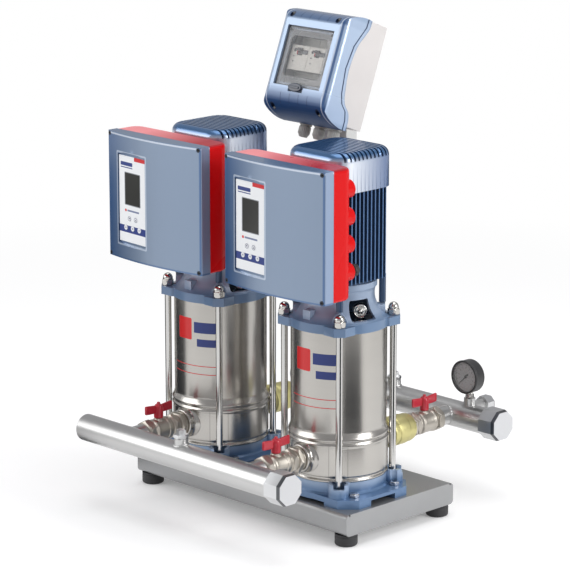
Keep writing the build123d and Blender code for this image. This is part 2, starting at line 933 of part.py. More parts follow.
def make_inverter_screws():
    middle = inverter_bottom + inverter_height / 2
    screws = []
    for i, j in corner_signs:
        x = i * cover_screw_x
        z = middle + j * cover_screw_z
        screw = along_y(cover_screw_radius, -inverter_front - 0.5, -inverter_split, x, z)
        screw -= along_y(1.6, -inverter_front - 1, 3 - inverter_front, x, z)
        screws.append(screw)
    return both_pumps(group(*screws))


def box_plane():
    tilt = radians(box_tilt)
    return Plane(
        origin=(0, box_face_y, box_face_z), x_dir=(1, 0, 0), z_dir=(0, -cos(tilt), sin(tilt))
    )


def curved(points):
    # the same points with two more between each pair, on a curve through them all
    ends = [points[0]] + points + [points[-1]]
    fine = []
    for before, start, end, after in zip(ends, ends[1:], ends[2:], ends[3:]):
        for t in (0, 1 / 3, 2 / 3):
            fine.append(tuple(
                a + t * ((b - before[k]) / 2 + t * (
                    before[k] - 2.5 * a + 2 * b - after[k] / 2
                    + t * (1.5 * (a - b) + (after[k] - before[k]) / 2)
                ))
                for k, (a, b) in enumerate(zip(start, end))
            ))
    return fine + [points[-1]]


def seam():
    # wavy parting line of the control box, as (up, back) points from top to bottom
    return curved([(91, 61), (76, 60), (60, 52), (38, 41), (-4, 35), (-47, 41), (-64, 48),
                   (-75, 61), (-90, 66), (-107, 66)])


def box_prism(outline, shrink, front, back):
    # an (up, back) outline carried across the box, with rounded front corners in plan
    half = box_width / 2 - shrink
    side = make_face(Polyline(*[(up, -behind) for up, behind in outline], close=True))
    body = extrude(Plane.YZ * side, half, both=True)
    r = box_corner - shrink
    plan = make_face(
        Polyline((half, -back), (half, -front - r))
        + RadiusArc((half, -front - r), (half - r, -front), -r)
        + Polyline((half - r, -front), (r - half, -front))
        + RadiusArc((r - half, -front), (-half, -front - r), -r)
        + Polyline((-half, -front - r), (-half, -back), (half, -back))
    )
    tall = 4 * box_depth
    body = body & extrude(Plane.XZ * plan, tall / 2, both=True)
    return body


def cover_outline():
    chin = curved([(-107, 66), (-106, 48), (-101, 28), (-92, 10), (-81, 0), (-66, -box_lip)])
    brow = curved([(66, -box_lip), (76, 0), (84, 11), (90, 30), (92, 48), (91, 61)])
    return seam() + chin[1:] + brow[:-1]


def make_control_cover():
    cover = box_prism(cover_outline(), 0, -box_lip, box_depth)
    inner = box_front_wall - box_lip
    cavity = [(-102, 90), (-102, 50), (-96, 30), (-87, 15), (-72, inner), (66, inner),
              (76, 14), (84, 32), (87, 50), (87, 90)]
    cover -= box_prism(cavity, box_wall, inner, box_depth)
    half_x = glass_width / 2 + glass_clearance
    half_y = glass_height / 2 + glass_clearance
    floor = glass_thickness + 0.3
    cover -= block(-half_x, half_x, -half_y, half_y, -floor, 2 * box_lip)
    tongue = tongue_width / 2 + glass_clearance
    cover -= block(-tongue, tongue, -half_y - tongue_reach, 0, -floor, 2 * box_lip)
    cover -= block(
        glass_ledge - half_x, half_x - glass_ledge, glass_ledge - half_y,
        half_y - glass_ledge, -3 * box_front_wall, 0,
    )
    # groove for the turning top edge of the window, and the two hinge pin holes
    cover -= block(-half_x, half_x, half_y - 3 * hinge_drop, half_y, -floor - 1.6, 0)
    hinge_y = glass_height / 2 - hinge_drop
    pins = half_x + hinge_pin_length
    cover -= along_x(hinge_radius + running_clearance, -pins, pins, hinge_y, -glass_thickness / 2)
    # notch behind the turn latch, open to the window
    cover -= Pos(0, -latch_drop, -box_front_wall) * Cylinder(latch_well, 2 * box_front_wall)
    cover -= block(-latch_well, latch_well, -latch_drop, glass_ledge - half_y,
                   -2 * box_front_wall, 0)
    for i, j in corner_signs:
        up = box_screw_high if j > 0 else box_screw_low
        cover -= Pos(i * box_screw_x, up, 0) * Cylinder(
            box_screw_radius + thread_clearance, box_depth
        )
    return box_plane() * cover


def make_control_base():
    front = [(up, behind + box_joint_gap) for up, behind in seam()]
    front = [(min(max(up, -99), 90), behind) for up, behind in front]
    outline = front + [(-99, box_depth), (90, box_depth)]
    base = box_prism(outline, 1.0, -box_lip, box_depth + 1)
    cavity = [(-96, 20), (-96, box_depth - box_wall), (87, box_depth - box_wall), (87, 20)]
    base -= box_prism(cavity, box_wall + 1, 0, box_depth - box_wall)
    # moulded rail that the breakers clip on
    base += block(-60, 60, -17, 17, box_wall - box_depth - 0.5, -breaker_back)
    for k in (-1, 0, 1):
        base -= Pos(k * gland_pitch, -98, -gland_depth) * Rot(90, 0, 0) * Cylinder(
            gland_radius - 2, 12
        )
    return box_plane() * base


def make_control_glands():
    gland = None
    for k in (-1, 0, 1):
        x = k * gland_pitch
        piece = Pos(x, -99 - gland_length / 2, -gland_depth) * Rot(90, 0, 0) * Cylinder(
            gland_radius - 2, gland_length
        )
        nut = Rot(90, 0, 0) * prism(2 * gland_radius, 9)
        piece += Pos(x, -99, -gland_depth) * nut
        piece += Pos(x, -115, -gland_depth) * nut
        piece += Pos(x, -94, -gland_depth) * Rot(90, 0, 0) * Cylinder(gland_radius - 2.2, 10)
        gland = piece if gland is None else gland + piece
    return box_plane() * gland


def make_window():
    half_x = glass_width / 2
    half_y = glass_height / 2
    plate = block(-half_x, half_x, -half_y, half_y, -glass_thickness, 0)
    plate += block(-tongue_width / 2, tongue_width / 2, -half_y - tongue_reach, 0,
                   -glass_thickness, 0)
    pins = half_x + glass_clearance + hinge_pin_length - 0.5
    hinge_y = half_y - hinge_drop
    plate += along_x(hinge_radius, -pins, pins, hinge_y, -glass_thickness / 2)
    plate -= Pos(0, -latch_drop, 0) * Cylinder(
        latch_neck_radius + running_clearance, 4 * glass_thickness
    )
    return box_plane() * plate


def make_latch():
    head = extrude(SlotOverall(latch_length, latch_width), latch_head)
    head -= Pos(0, 0, latch_head) * Rot(0, 0, 20) * Box(latch_length, 2.2, 3)
    head = Pos(0, 0, box_lip + 0.4) * head
    neck = Pos(0, 0, box_lip / 2 - 1.3) * Cylinder(latch_neck_radius, box_lip + 4.2)
    cam = Pos(0, 1.5, -glass_thickness - 1.6) * Box(2 * latch_neck_radius, 8, 2)
    return box_plane() * Pos(0, -latch_drop, 0) * (head + neck + cam)


def breaker_places():
    return {"left": -breaker_width / 2 - 5.15, "right": breaker_width / 2 - 4.85}


def make_breakers():
    breakers = []
    for x in breaker_places().values():
        half = breaker_width / 2
        body = block(x - half, x + half, -breaker_nose / 2, breaker_nose / 2,
                     -breaker_shoulder - 1, -breaker_front)
        body += block(x - half, x + half, -breaker_body / 2, breaker_body / 2,
                      -breaker_back, -breaker_shoulder)
        pocket = lever_hub_radius + lever_clearance
        width = lever_width / 2 + lever_clearance
        depth = breaker_front + lever_hub_radius
        body -= along_x(pocket, x - width, x + width, lever_rise, -depth)
        body -= block(x - width, x + width, lever_rise - pocket, lever_rise + pocket,
                      -depth, -breaker_front + 1)
        breakers.append(body)
    return box_plane() * group(*breakers)


def make_lever(x):
    depth = breaker_front + lever_hub_radius
    hub = Rot(0, 90, 0) * Cylinder(lever_hub_radius - 0.2, lever_width)
    nose = Pos(0, 0, (lever_hub_radius + lever_nose) / 2) * Box(
        lever_width, 4.0, lever_hub_radius + lever_nose
    )
    lever = Rot(-lever_angle, 0, 0) * (hub + nose)
    return box_plane() * Pos(x, lever_rise, -depth) * lever


def make_box_screws():
    screws = []
    for i, j in corner_signs:
        up = box_screw_high if j > 0 else box_screw_low
        front = 1.5 if j > 0 else 14.0
        screw = Pos(0, 0, -box_screw_length / 2) * Cylinder(box_screw_radius, box_screw_length)
        screw -= Box(2 * box_screw_radius - 2, 1.6, 3)
        screws.append(Pos(i * box_screw_x, up, -front) * screw)
    return box_plane() * group(*screws)


def make_post():
    plane = box_plane()
    back = box_depth
    plate = block(-post_plate_half, post_plate_half, post_plate_low, post_plate_high,
                  -back - post_plate, -back)
    half = post_width / 2
    front = post_y - post_depth / 2
    rear = post_y + post_depth / 2
    column = block(-half, half, front, rear, tray_top, box_face_z)
    column -= block(
        post_wall - half, half - post_wall, front + post_wall, rear - post_wall,
        tray_top - 1, box_face_z + 1,
    )
    # the column is cut off along the back of the plate
    column -= plane * block(-2 * half, 2 * half, -300, 300, -back - 1, 300)
    foot = block(-half, half, front - 14, min(rear + 14, tray_width / 2 - 2),
                 tray_top, tray_top + post_foot)
    foot -= block(post_wall - half, half - post_wall, front + post_wall, rear - post_wall,
                  tray_top - 1, tray_top + post_foot + 1)
    return plane * plate + column + foot


def make_manifold(reach, valve_reach, side):
    axis_y = pump_y + side * reach
    half = pipe_length / 2
    pipe = along_x(pipe_radius, -half, half, axis_y, port_z)
    bores = along_x(pipe_bore_radius, -half - 1, half + 1, axis_y, port_z)
    end = pump_y + side * (valve_reach + valve_half)
    for x in pump_places.values():
        low, high = min(end, axis_y), max(end, axis_y)
        pipe += along_y(stub_radius, low, high, x, port_z)
        bores += along_y(ball_bore_radius, low - 1, high + 1, x, port_z)
    pipe += upright(socket_radius, port_z, port_z + socket_height, 0, axis_y)
    bores += upright(
        plug_shank_radius + thread_clearance, port_z, port_z + socket_height + 1, 0, axis_y
    )
    if side > 0:
        stub_end = pump_y + vessel_stub_end
        x = pump_places["right"]
        pipe += along_y(vessel_stub_radius, axis_y, stub_end, x, port_z)
        bores += along_y(vessel_stub_radius - 2, axis_y, stub_end + 1, x, port_z)
        pipe += upright(
            socket_radius - 2, port_z, port_z + gauge_socket_height, gauge_x, axis_y
        )
        bores += upright(
            gauge_stem_radius + thread_clearance, port_z, port_z + gauge_socket_height + 1,
            gauge_x, axis_y,
        )
    return pipe - bores


def make_cap(flats, bore, length, depth, chamfer_length, inset):
    # octagonal cap that stands on the XY plane, open end down
    cap = prism(flats, length - chamfer_length, 8, 22.5)
    nose = loft([
        Pos(0, 0, length - chamfer_length) * RegularPolygon(
            flats / 2, 8, major_radius=False, rotation=22.5),
        Pos(0, 0, length) * RegularPolygon(
            flats / 2 - inset, 8, major_radius=False, rotation=22.5),
    ])
    return cap + nose - upright(bore, -1, depth)


def make_pipe_caps():
    end = pipe_length / 2
    cap = make_cap(cap_flats, pipe_radius + thread_clearance, cap_length, cap_depth,
                   cap_chamfer, cap_chamfer_inset)
    caps = [
        Pos(end - cap_depth, pump_y + y, port_z) * Rot(0, 90, 0) * cap
        for y in (-suction_reach, delivery_reach)
    ]
    small = make_cap(vessel_cap_flats, vessel_stub_radius + thread_clearance,
                     vessel_cap_length, vessel_cap_length / 2, 3, 1.5)
    caps.append(
        Pos(pump_places["right"], pump_y + vessel_stub_end - vessel_cap_length / 2, port_z)
        * Rot(-90, 0, 0) * small
    )
    plug = upright(plug_shank_radius, -plug_shank, 0)
    plug += prism(plug_flats, plug_flange)
    plug += Pos(0, 0, plug_flange) * prism(plug_head_flats, plug_head, 4)
    for y in (-suction_reach, delivery_reach):
        caps.append(Pos(0, pump_y + y, port_z + socket_height) * plug)
    return group(*caps)


def facing(side, shape):
    # turn a piece drawn along +Z so that it points to the front or to the back
    return Rot(-90 * side, 0, 0) * shape


def make_union_nuts():
    # between each casing port and the valve or check valve beyond it
    nut = Pos(0, 0, 1) * prism(nut_flats, nut_length - 2)
    nut += upright(nut_flats / 2 - 1, 0, nut_length)
    nut -= upright(ball_bore_radius, -1, nut_length + 1)
    nuts = [Pos(0, side * port_reach, port_z) * facing(side, nut) for side in (-1, 1)]
    link = prism(nut_flats, link_length) - upright(ball_bore_radius, -1, link_length + 1)
    nuts.append(Pos(0, check_start + check_length, port_z) * facing(1, link))
    return both_pumps(group(*nuts))


def make_valve_body():
    # drawn along Z with the ball at the middle and the pump side below
    start = -valve_half
    body = turned([
        (0, start), (valve_thread_radius, start), (valve_thread_radius, -24),
        (valve_body_radius, -20), (valve_body_radius, 16), (valve_thread_radius, 20),
        (valve_thread_radius, valve_half), (0, valve_half),
    ])
    body += Pos(0, 0, valve_half - valve_hex_length) * prism(valve_hex_flats, valve_hex_length)
    body += Pos(0, 0, start) * prism(valve_hex_flats, valve_hex_length * 0.7)
    body -= upright(ball_bore_radius, start - 1, valve_half + 1)
    body -= Sphere(ball_radius + ball_clearance)
    return body


def valve_places():
    places = {}
    for pump, x in pump_places.items():
        places["suction_" + pump] = (x, -1, suction_valve_reach)
        places["delivery_" + pump] = (x, 1, delivery_valve_reach)
    return places


def make_valve_bodies():
    bodies = []
    for x, side, reach in valve_places().values():
        body = facing(side, make_valve_body())
        neck = upright(gland_neck_radius, ball_radius, gland_neck_rise)
        body += neck
        body -= upright(stem_radius + running_clearance, ball_radius - 2, gland_neck_rise + 1)
        bodies.append(Pos(x, pump_y + side * reach, port_z) * body)
    return group(*bodies)


def make_handle():
    low = gland_neck_rise + handle_gap
    hub = upright(handle_hub_radius, low, low + handle_height)
    knob = upright(handle_knob_radius, low + handle_height, low + handle_height + handle_knob)
    half = handle_length / 2
    wing = make_face(Polyline(
        (0, low + handle_low), (half, low + handle_low), (half, low + handle_tip_top),
        (half - 4, low + handle_tip_top), (handle_hub_radius, low + handle_root_top),
        (0, low + handle_root_top), close=True,
    ))
    wing = extrude(Plane.YZ * wing, handle_thickness / 2, both=True)
    grip = hub + knob + wing + Rot(0, 0, 180) * wing
    socket = upright(stem_radius, low - 1, low + handle_height - 6)
    stem = upright(stem_radius, ball_radius / 2, low + handle_height - 6)
    ball = Sphere(ball_radius) + stem - along_y(
        ball_bore_radius, -2 * ball_radius, 2 * ball_radius, 0, 0)
    return group(grip - socket, ball)


def make_check_bodies():
    start = check_start
    end = start + check_length
    body = turned([
        (0, start), (check_radius - 1.5, start), (check_radius, start + 2),
        (check_radius, end - 6), (check_radius - 1.5, end - 4), (check_radius - 1.5, end),
        (0, end),
    ])
    body -= upright(ball_bore_radius, start - 1, end + 1)
    chamber = start + check_seat
    body -= upright(check_chamber_radius, chamber, chamber + check_chamber_length)
    bar_low = chamber + check_chamber_length - guide_thickness
    bar = block(-check_chamber_radius - 1, check_chamber_radius + 1, -guide_width / 2,
                guide_width / 2, bar_low, bar_low + guide_thickness)
    bar -= upright(poppet_stem_radius + running_clearance, bar_low - 1,
                   bar_low + guide_thickness + 1)
    return both_pumps(Pos(0, 0, port_z) * facing(1, body + bar))


def make_poppet(x):
    low = check_start + check_seat + poppet_gap
    stem_end = check_start + check_seat + check_chamber_length + 1
    poppet = upright(poppet_radius, low, low + poppet_thickness)
    poppet += upright(poppet_stem_radius, low, stem_end)
    return Pos(x, pump_y, port_z) * facing(1, poppet)


def gauge_centre():
    return gauge_x, pump_y + delivery_reach - gauge_lead, port_z + gauge_rise


def make_gauge_case():
    x, front, z = gauge_centre()
    back = front + gauge_depth
    case = along_y(gauge_radius, front, back, x, z)
    case -= along_y(gauge_radius - gauge_rim, front - 1, front + glass_seat, x, z)
    case -= along_y(gauge_radius - gauge_rim, front - 1, front + gauge_floor, x, z)
    case -= along_y(
        needle_pin_radius + running_clearance, front, front + gauge_floor + 6, x, z
    )
    stem_y = pump_y + delivery_reach
    socket_top = port_z + gauge_socket_height
    case += upright(gauge_stem_radius, socket_top, z - gauge_radius + 3, x, stem_y)
    case += Pos(x, stem_y, socket_top) * prism(gauge_stem_flats, 7)
    case += upright(gauge_stem_radius, socket_top - 12, socket_top + 1, x, stem_y)
    return case


def make_gauge_glass():
    x, front, z = gauge_centre()
    lens = along_y(gauge_radius - gauge_rim, front + glass_seat,
                   front + glass_seat + lens_thickness, x, z)
    return lens


def make_needle():
    x, front, z = gauge_centre()
    dial = front + gauge_floor
    start = dial - needle_gap - needle_thickness
    needle = along_y(needle_hub_radius, start, dial - needle_gap, 0, 0)
    needle += block(-needle_width / 2, needle_width / 2, start, dial - needle_gap,
                    -needle_tail, needle_length)
    needle += along_y(needle_pin_radius, start, dial + 5, 0, 0)
    # the angle is measured clockwise from straight up, as seen from the front
    return Pos(x, 0, z) * Rot(0, needle_angle, 0) * needle


def make_nodes():
    housings, black_gland = make_inverter_housings()
    nodes = {
        "base_tray": make_tray(),
        "rubber_feet": make_rubber_feet(),
        "base_bolts": make_base_bolts(),
        "pump_feet": make_pump_feet(),
        "pump_casings": make_casings(),
        "tie_rods": make_tie_rods(),
        "cap_nuts": make_cap_nuts(),
        "seal_plates": make_seal_plates(),
        "shaft_seals": make_shaft_seals(),
        "stage_diffusers": make_diffusers(),
        "lanterns": make_lanterns(),
        "vent_plugs": make_vent_plugs(),
        "motor_housings": make_motor_housings(),
        "stators": make_stators(),
        "bearings": make_bearings(),
        "fan_cowls": make_cowls(),
        "inverter_housings": housings,
        "inverter_covers": make_inverter_covers(),
        "inverter_panels": make_panels(),
        "enclosure_screws": group(make_inverter_screws(), make_box_screws()),
        "control_cover": make_control_cover(),
        "control_base": make_control_base(),
        "control_window": make_window(),
        "window_latch": make_latch(),
        "breakers": make_breakers(),
        "cable_glands": group(make_control_glands(), black_gland),
        "control_post": make_post(),
        "suction_manifold": make_manifold(suction_reach, suction_valve_reach, -1),
        "delivery_manifold": make_manifold(delivery_reach, delivery_valve_reach, 1),
        "pipe_caps": make_pipe_caps(),
        "union_nuts": make_union_nuts(),
        "valve_bodies": make_valve_bodies(),
        "check_valve_bodies": make_check_bodies(),
        "gauge_case": make_gauge_case(),
        "gauge_glass": make_gauge_glass(),
        "gauge_needle": make_needle(),
    }
    for pump, x in pump_places.items():
        place = Pos(x, pump_y, 0)
        nodes["shaft_" + pump] = place * make_shaft()
        nodes["impellers_" + pump] = place * make_impellers()
        nodes["cooling_fan_" + pump] = place * make_fan()
        nodes["check_poppet_" + pump] = make_poppet(x)
        for key, (across, up) in key_places().items():
            nodes["key_" + key + "_" + pump] = place * make_key(across, up)
    for breaker, x in breaker_places().items():
        nodes["breaker_lever_" + breaker] = make_lever(x)
    for valve, (x, side, reach) in valve_places().items():
        nodes["handle_" + valve] = Pos(x, pump_y + side * reach, port_z) * make_handle()
    return nodes


os.makedirs("parts", exist_ok=True)
for name, shape in make_nodes().items():
    export_step(shape, "parts/" + name + ".step")
    print(name, len(shape.solids()), round(shape.volume, 1))
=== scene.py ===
import json
from math import cos, pi, radians, sin, sqrt

import bmesh
import bpy
import numpy as np
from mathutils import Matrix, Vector


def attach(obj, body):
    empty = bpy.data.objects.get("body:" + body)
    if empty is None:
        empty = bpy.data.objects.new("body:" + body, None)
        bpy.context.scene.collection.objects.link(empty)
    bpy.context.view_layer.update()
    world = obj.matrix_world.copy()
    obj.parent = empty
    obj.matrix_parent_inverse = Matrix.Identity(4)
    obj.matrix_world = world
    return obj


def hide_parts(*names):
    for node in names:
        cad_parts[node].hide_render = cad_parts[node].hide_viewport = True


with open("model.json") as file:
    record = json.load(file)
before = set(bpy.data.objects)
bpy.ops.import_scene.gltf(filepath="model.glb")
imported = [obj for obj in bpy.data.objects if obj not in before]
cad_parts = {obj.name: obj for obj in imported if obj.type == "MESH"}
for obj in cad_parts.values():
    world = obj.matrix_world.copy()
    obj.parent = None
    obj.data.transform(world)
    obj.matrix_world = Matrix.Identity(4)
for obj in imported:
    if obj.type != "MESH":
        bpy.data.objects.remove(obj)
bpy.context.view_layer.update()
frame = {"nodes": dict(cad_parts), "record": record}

nodes = frame["nodes"]
bodyOfNode = {n: b for b, ns in frame["record"]["behaviour"]["bodies"].items() for n in ns}
print("frame loaded:", len(nodes), "nodes")

# The floor is z = 0, X runs along the manifolds and -Y is the front. Shapes are written in
# millimetres and become metres when their grid is made.
mm = 0.001
pumpX, pumpY, portZ = 150.0, -35.5, 137.0
pumpSpots = ((-pumpX, pumpY), (pumpX, pumpY))
corners = ((-1, -1), (-1, 1), (1, -1), (1, 1))
boxFrame = dict(face=(0.0, 30.2, 800.7), tilt=21.0)  # the middle of the control box's front


def wireOperator(operation, reflected=False):
    # the method of Wire that adds one Math node of this kind
    def apply(self, other):
        pair = (other, self) if reflected else (self, other)
        return self.sheet.maths(operation, *pair)
    return apply


class Wire:
    # a socket that can stand in a sum; every operator adds one Math node
    def __init__(self, sheet, socket):
        self.sheet = sheet
        self.socket = socket

    __add__ = wireOperator("ADD")
    __radd__ = wireOperator("ADD", True)
    __sub__ = wireOperator("SUBTRACT")
    __rsub__ = wireOperator("SUBTRACT", True)
    __mul__ = wireOperator("MULTIPLY")
    __rmul__ = wireOperator("MULTIPLY", True)
    __truediv__ = wireOperator("DIVIDE")
    __rtruediv__ = wireOperator("DIVIDE", True)
    __pow__ = wireOperator("POWER")
    __gt__ = wireOperator("GREATER_THAN")
    __lt__ = wireOperator("LESS_THAN")

    def __neg__(self):
        return self * -1.0


def linear(colour):
    # a screen colour 0..255 to linear light; a wire or a linear colour passes unchanged
    if isinstance(colour, Wire) or len(colour) == 4:
        return colour
    shares = [v / 255 for v in colour]
    return tuple(v / 12.92 if v <= 0.04045 else ((v + 0.055) / 1.055) ** 2.4 for v in shares) + (1.0,)


def toned(colour, share):
    # a colour's linear light times a share, kept from passing white
    return tuple(min(1.0, c * share) for c in linear(colour)[:3]) + (1.0,)


class Sheet:
    # one material under construction; look is the colour that its paint has come to
    def __init__(self, name, colour, rough, metal=0.0, **fixed):
        self.material = bpy.data.materials.new(name)
        self.material.use_nodes = True
        self.tree = self.material.node_tree
        self.shader = self.tree.nodes["Principled BSDF"]
        self.look = linear(colour)
        fixed.update(Base_Color=self.look, Roughness=rough, Metallic=metal)
        for socket, value in fixed.items():
            self.shader.inputs[socket.replace("_", " ")].default_value = value
        self.place = None

    def add(self, kind, settings=None, inputs=None, out=0):
        # one node: its settings first, then the values or links of its sockets
        node = self.tree.nodes.new(kind)
        for key, value in (settings or {}).items():
            if key == "stops":
                ramp = node.color_ramp
                while len(ramp.elements) < len(value):
                    ramp.elements.new(0.5)
                for element, (spot, shade) in zip(ramp.elements, value):
                    element.position = spot
                    element.color = shade
            else:
                setattr(node, key, value)
        for key, value in (inputs or {}).items():
            socket = node.inputs[key]
            if isinstance(value, Wire):
                self.tree.links.new(value.socket, socket)
            elif value is not None:
                socket.default_value = value
        return Wire(self, node.outputs[out])

    def maths(self, operation, *values):
        return self.add("ShaderNodeMath", {"operation": operation}, dict(enumerate(values)))

    def point(self):
        # object coordinates in millimetres as three wires
        if self.place is None:
            self.spot = self.add("ShaderNodeTexCoord", out=3)
            node = self.add("ShaderNodeSeparateXYZ", None, {0: self.spot}).socket.node
            self.place = [Wire(self, socket) * 1000.0 for socket in node.outputs]
        return self.place

    def across(self):
        # millimetres across from the axis of whichever pump is nearer
        x = self.point()[0]
        return x + pumpX - (x > 0.0) * (2 * pumpX)

    def noise(self, scale, detail=3.0, rough=0.5, stretch=(1, 1, 1)):
        # smooth noise around 0.5; scale is in lumps per metre
        self.point()
        spot = self.add("ShaderNodeVectorMath", {"operation": "MULTIPLY"},
                        {0: self.spot, 1: stretch})
        return self.add("ShaderNodeTexNoise", None,
                        {"Vector": spot, "Scale": scale, "Detail": detail, "Roughness": rough})

    def clamp(self, value):
        return self.add("ShaderNodeClamp", None, {0: value})

    def far(self, value):
        return self.maths("ABSOLUTE", value)

    def most(self, a, b):
        return self.maths("MAXIMUM", a, b)

    def least(self, a, b):
        return self.maths("MINIMUM", a, b)

    def reach(self, a, b):
        # distance from the point where both are 0
        return self.maths("SQRT", a * a + b * b)

    def above(self, value, edge, width):
        # 0 below the edge, 1 above it, with a ramp of the given width
        return self.clamp((value - edge) / width + 0.5)

    def between(self, value, low, high, width):
        return self.above(value, low, width) * (1.0 - self.above(value, high, width))

    def stripes(self, value, step, half):
        # 1 within half of 0 and of every second multiple of the step
        return self.maths("PINGPONG", value, step) < half

    def inside(self, a, b, centreA, centreB, halfA, halfB, corner, width=0.4):
        # 1 inside a rectangle with rounded corners on the plane of a and b
        da = self.most(self.far(a - centreA) - (halfA - corner), 0.0)
        db = self.most(self.far(b - centreB) - (halfB - corner), 0.0)
        return 1.0 - self.above(self.reach(da, db), corner, width)

    def disc(self, a, b, centreA, centreB, radius, width=0.4):
        return 1.0 - self.above(self.reach(a - centreA, b - centreB), radius, width)

    def feed(self, socket, wire):
        self.tree.links.new(wire.socket, self.shader.inputs[socket])

    def paint(self, mask, colour):
        # lays a colour over the look so far, as strongly as the mask says
        self.look = self.add("ShaderNodeMix", {"data_type": "RGBA"},
                             {0: mask, 6: self.look, 7: linear(colour)}, out=2)
        self.feed("Base Color", self.look)

    def mottle(self, wave, gain, low, high):
        # the sheet's colour times low to high, as the wave passes 0.5
        colour, self.look = self.look, toned(self.look, low)
        self.paint(self.clamp(wave * gain - (gain - 1) / 2), toned(colour, high))

    def roughen(self, rough, wave, amount):
        self.feed("Roughness", rough + (wave - 0.5) * amount)

    def bump(self, height, distance):
        self.feed("Normal", self.add("ShaderNodeBump", None,
                                     {"Height": height, "Distance": distance, "Strength": 1.0}))


def paintFinish(name, colour, rough, metal=0.0, coat=0.0):
    # sprayed paint: fine orange peel and slow changes of tone, with metal flake where it has any
    s = Sheet(name, colour, rough, metal, Coat_Weight=coat, Coat_Roughness=0.08)
    slow = s.noise(9.0)
    s.mottle(slow, 1.6, 0.92, 1.05)
    s.roughen(rough, slow, 0.1)
    s.bump(s.noise(700.0, 2.0) + slow * 0.3, 0.00002)
    return s


def castFinish(name, colour, rough, metal=0.3):
    # metallic enamel over a sand casting: a fine skin and very slow changes of tone
    s = Sheet(name, colour, rough, metal, Coat_Weight=0.3, Coat_Roughness=0.15)
    slow = s.noise(14.0, 2.0)
    s.mottle(slow, 1.5, 0.94, 1.05)
    s.roughen(rough, slow, 0.05)
    s.bump(s.noise(700.0, 2.0, 0.4) + slow * 2.0, 0.000008)
    return s


def steelFinish(name, colour, rough, along=(1, 1, 1), scratch=0.000012, streak=0.12):
    # drawn or brushed steel: hair lines stretched along one axis
    s = Sheet(name, colour, rough, 1.0)
    broad = s.noise(60.0, 2.0, 0.5, along)
    s.mottle(broad, 1.4, 1 - streak, 1.0)
    s.roughen(rough, broad, 0.04)
    s.bump(s.noise(900.0, 3.0, 0.6, along), scratch)
    return s


def plasticFinish(name, colour, rough, grain=0.00003, coat=0.0):
    # moulded plastic: a fine grain and slow changes of tone
    s = Sheet(name, colour, rough, Coat_Weight=coat, Coat_Roughness=0.1)
    fine = s.noise(1500.0, 2.0)
    s.mottle(s.noise(14.0, 2.0), 1.4, 0.92, 1.0)
    s.roughen(rough, fine, 0.1)
    s.bump(fine, grain)
    return s


finishes = {}


def give(sheet, *parts):
    # these parts of the set take the sheet's material
    for part in parts:
        finishes[part] = sheet.material


satin = dict(scratch=0.000002, streak=0.05)
give(paintFinish("satinTrayPaint", (164, 165, 166), 0.34, 0.7), "base_tray")
give(paintFinish("paleGreyPaint", (208, 208, 206), 0.4), "control_post")
give(plasticFinish("warmGreyMoulding", (214, 210, 208), 0.36), "control_base")
give(plasticFinish("footRubber", (48, 48, 50), 0.55, 0.0001), "rubber_feet")
give(plasticFinish("blackMoulding", (38, 38, 40), 0.4),
     "shaft_seals", "cooling_fan_left", "cooling_fan_right")
give(plasticFinish("darkScrews", (38, 42, 50), 0.32), "enclosure_screws")
give(plasticFinish("darkPointer", (22, 22, 24), 0.4), "gauge_needle")
give(plasticFinish("darkLatch", (44, 54, 72), 0.2, coat=0.4), "window_latch")
give(Sheet("clearLens", (255, 255, 255), 0.03, Alpha=0.1), "gauge_glass")
give(steelFinish("polishedBar", (206, 205, 203), 0.14, (1, 1, 0.02)), "tie_rods")
give(steelFinish("polishedNuts", (204, 202, 198), 0.1, scratch=0.000002), "cap_nuts")
give(steelFinish("zincBolts", (176, 180, 188), 0.26), "base_bolts")
give(steelFinish("brightTube", (200, 200, 199), 0.34, (0.02, 1, 1), 0.000001, 0.04),
     "suction_manifold", "delivery_manifold")
give(steelFinish("nickelPlate", (192, 186, 176), 0.38, **satin), "union_nuts", "valve_bodies")
give(steelFinish("polishedPlug", (236, 235, 232), 0.12, streak=0.03), "vent_plugs")
give(steelFinish("paleYellowChromate", (214, 206, 146), 0.38, **satin), "check_valve_bodies")
give(steelFinish("windingCopper", (150, 92, 62), 0.4), "stators")
give(steelFinish("turnedSteel", (170, 170, 172), 0.32), "seal_plates", "stage_diffusers", "bearings",
     *(part + side for side in ("_left", "_right") for part in ("shaft", "impellers", "check_poppet")))
for part in nodes:
    if part.startswith("handle_"):
        give(paintFinish("redHandleCoat_" + part, (184, 28, 48), 0.3, coat=0.3), part)
    elif part.startswith("breaker_lever"):
        give(plasticFinish("greyToggle_" + part, (100, 98, 98), 0.35), part)


def paintedLightAboveFinish(name, colour, upper, height, metal):
    # cast enamel painted paler above a height: painted light on the upper part
    s = castFinish(name, colour, 0.32, metal)
    s.paint(s.above(s.point()[2], height, 10.0) * 0.75, upper)
    return s


# the feet and the lanterns take painted light above a height
give(paintedLightAboveFinish("blueFootEnamel", (94, 124, 162), (154, 174, 200), 88.0, 0.3), "pump_feet")
give(paintedLightAboveFinish("blueLanternEnamel", (98, 124, 156), (150, 166, 188), 384.0, 0.1), "lanterns")


motorLook = dict(colour=(42, 66, 96), finHighlightTone=2.6, half=66.6, corner=31.1)


def motorFinish(colour, finHighlightTone, half, corner):
    # dark paint between the fins; their outer edges, outside a rounded square, are painted paler as a
    # painted highlight
    s = castFinish("darkMotorPaint", colour, 0.4)
    deep = s.inside(s.across(), s.point()[1], 0.0, pumpY, half, half, corner, 0.9)
    # painted highlight on the fins' outer edges
    s.paint(1.0 - deep, toned(colour, finHighlightTone))
    return s


give(motorFinish(**motorLook), "motor_housings")


cowlLook = dict(crownShade=(70, 110, 156), front=(226, 233, 243), rearShade=(48, 86, 140), fluteShade=(74, 106, 150),
                crownFrom=663.0, cornerFrom=56.0, fadeFrom=634.0, fluteStep=9.5, rearFrom=-40.0,
                rearLength=96.0)


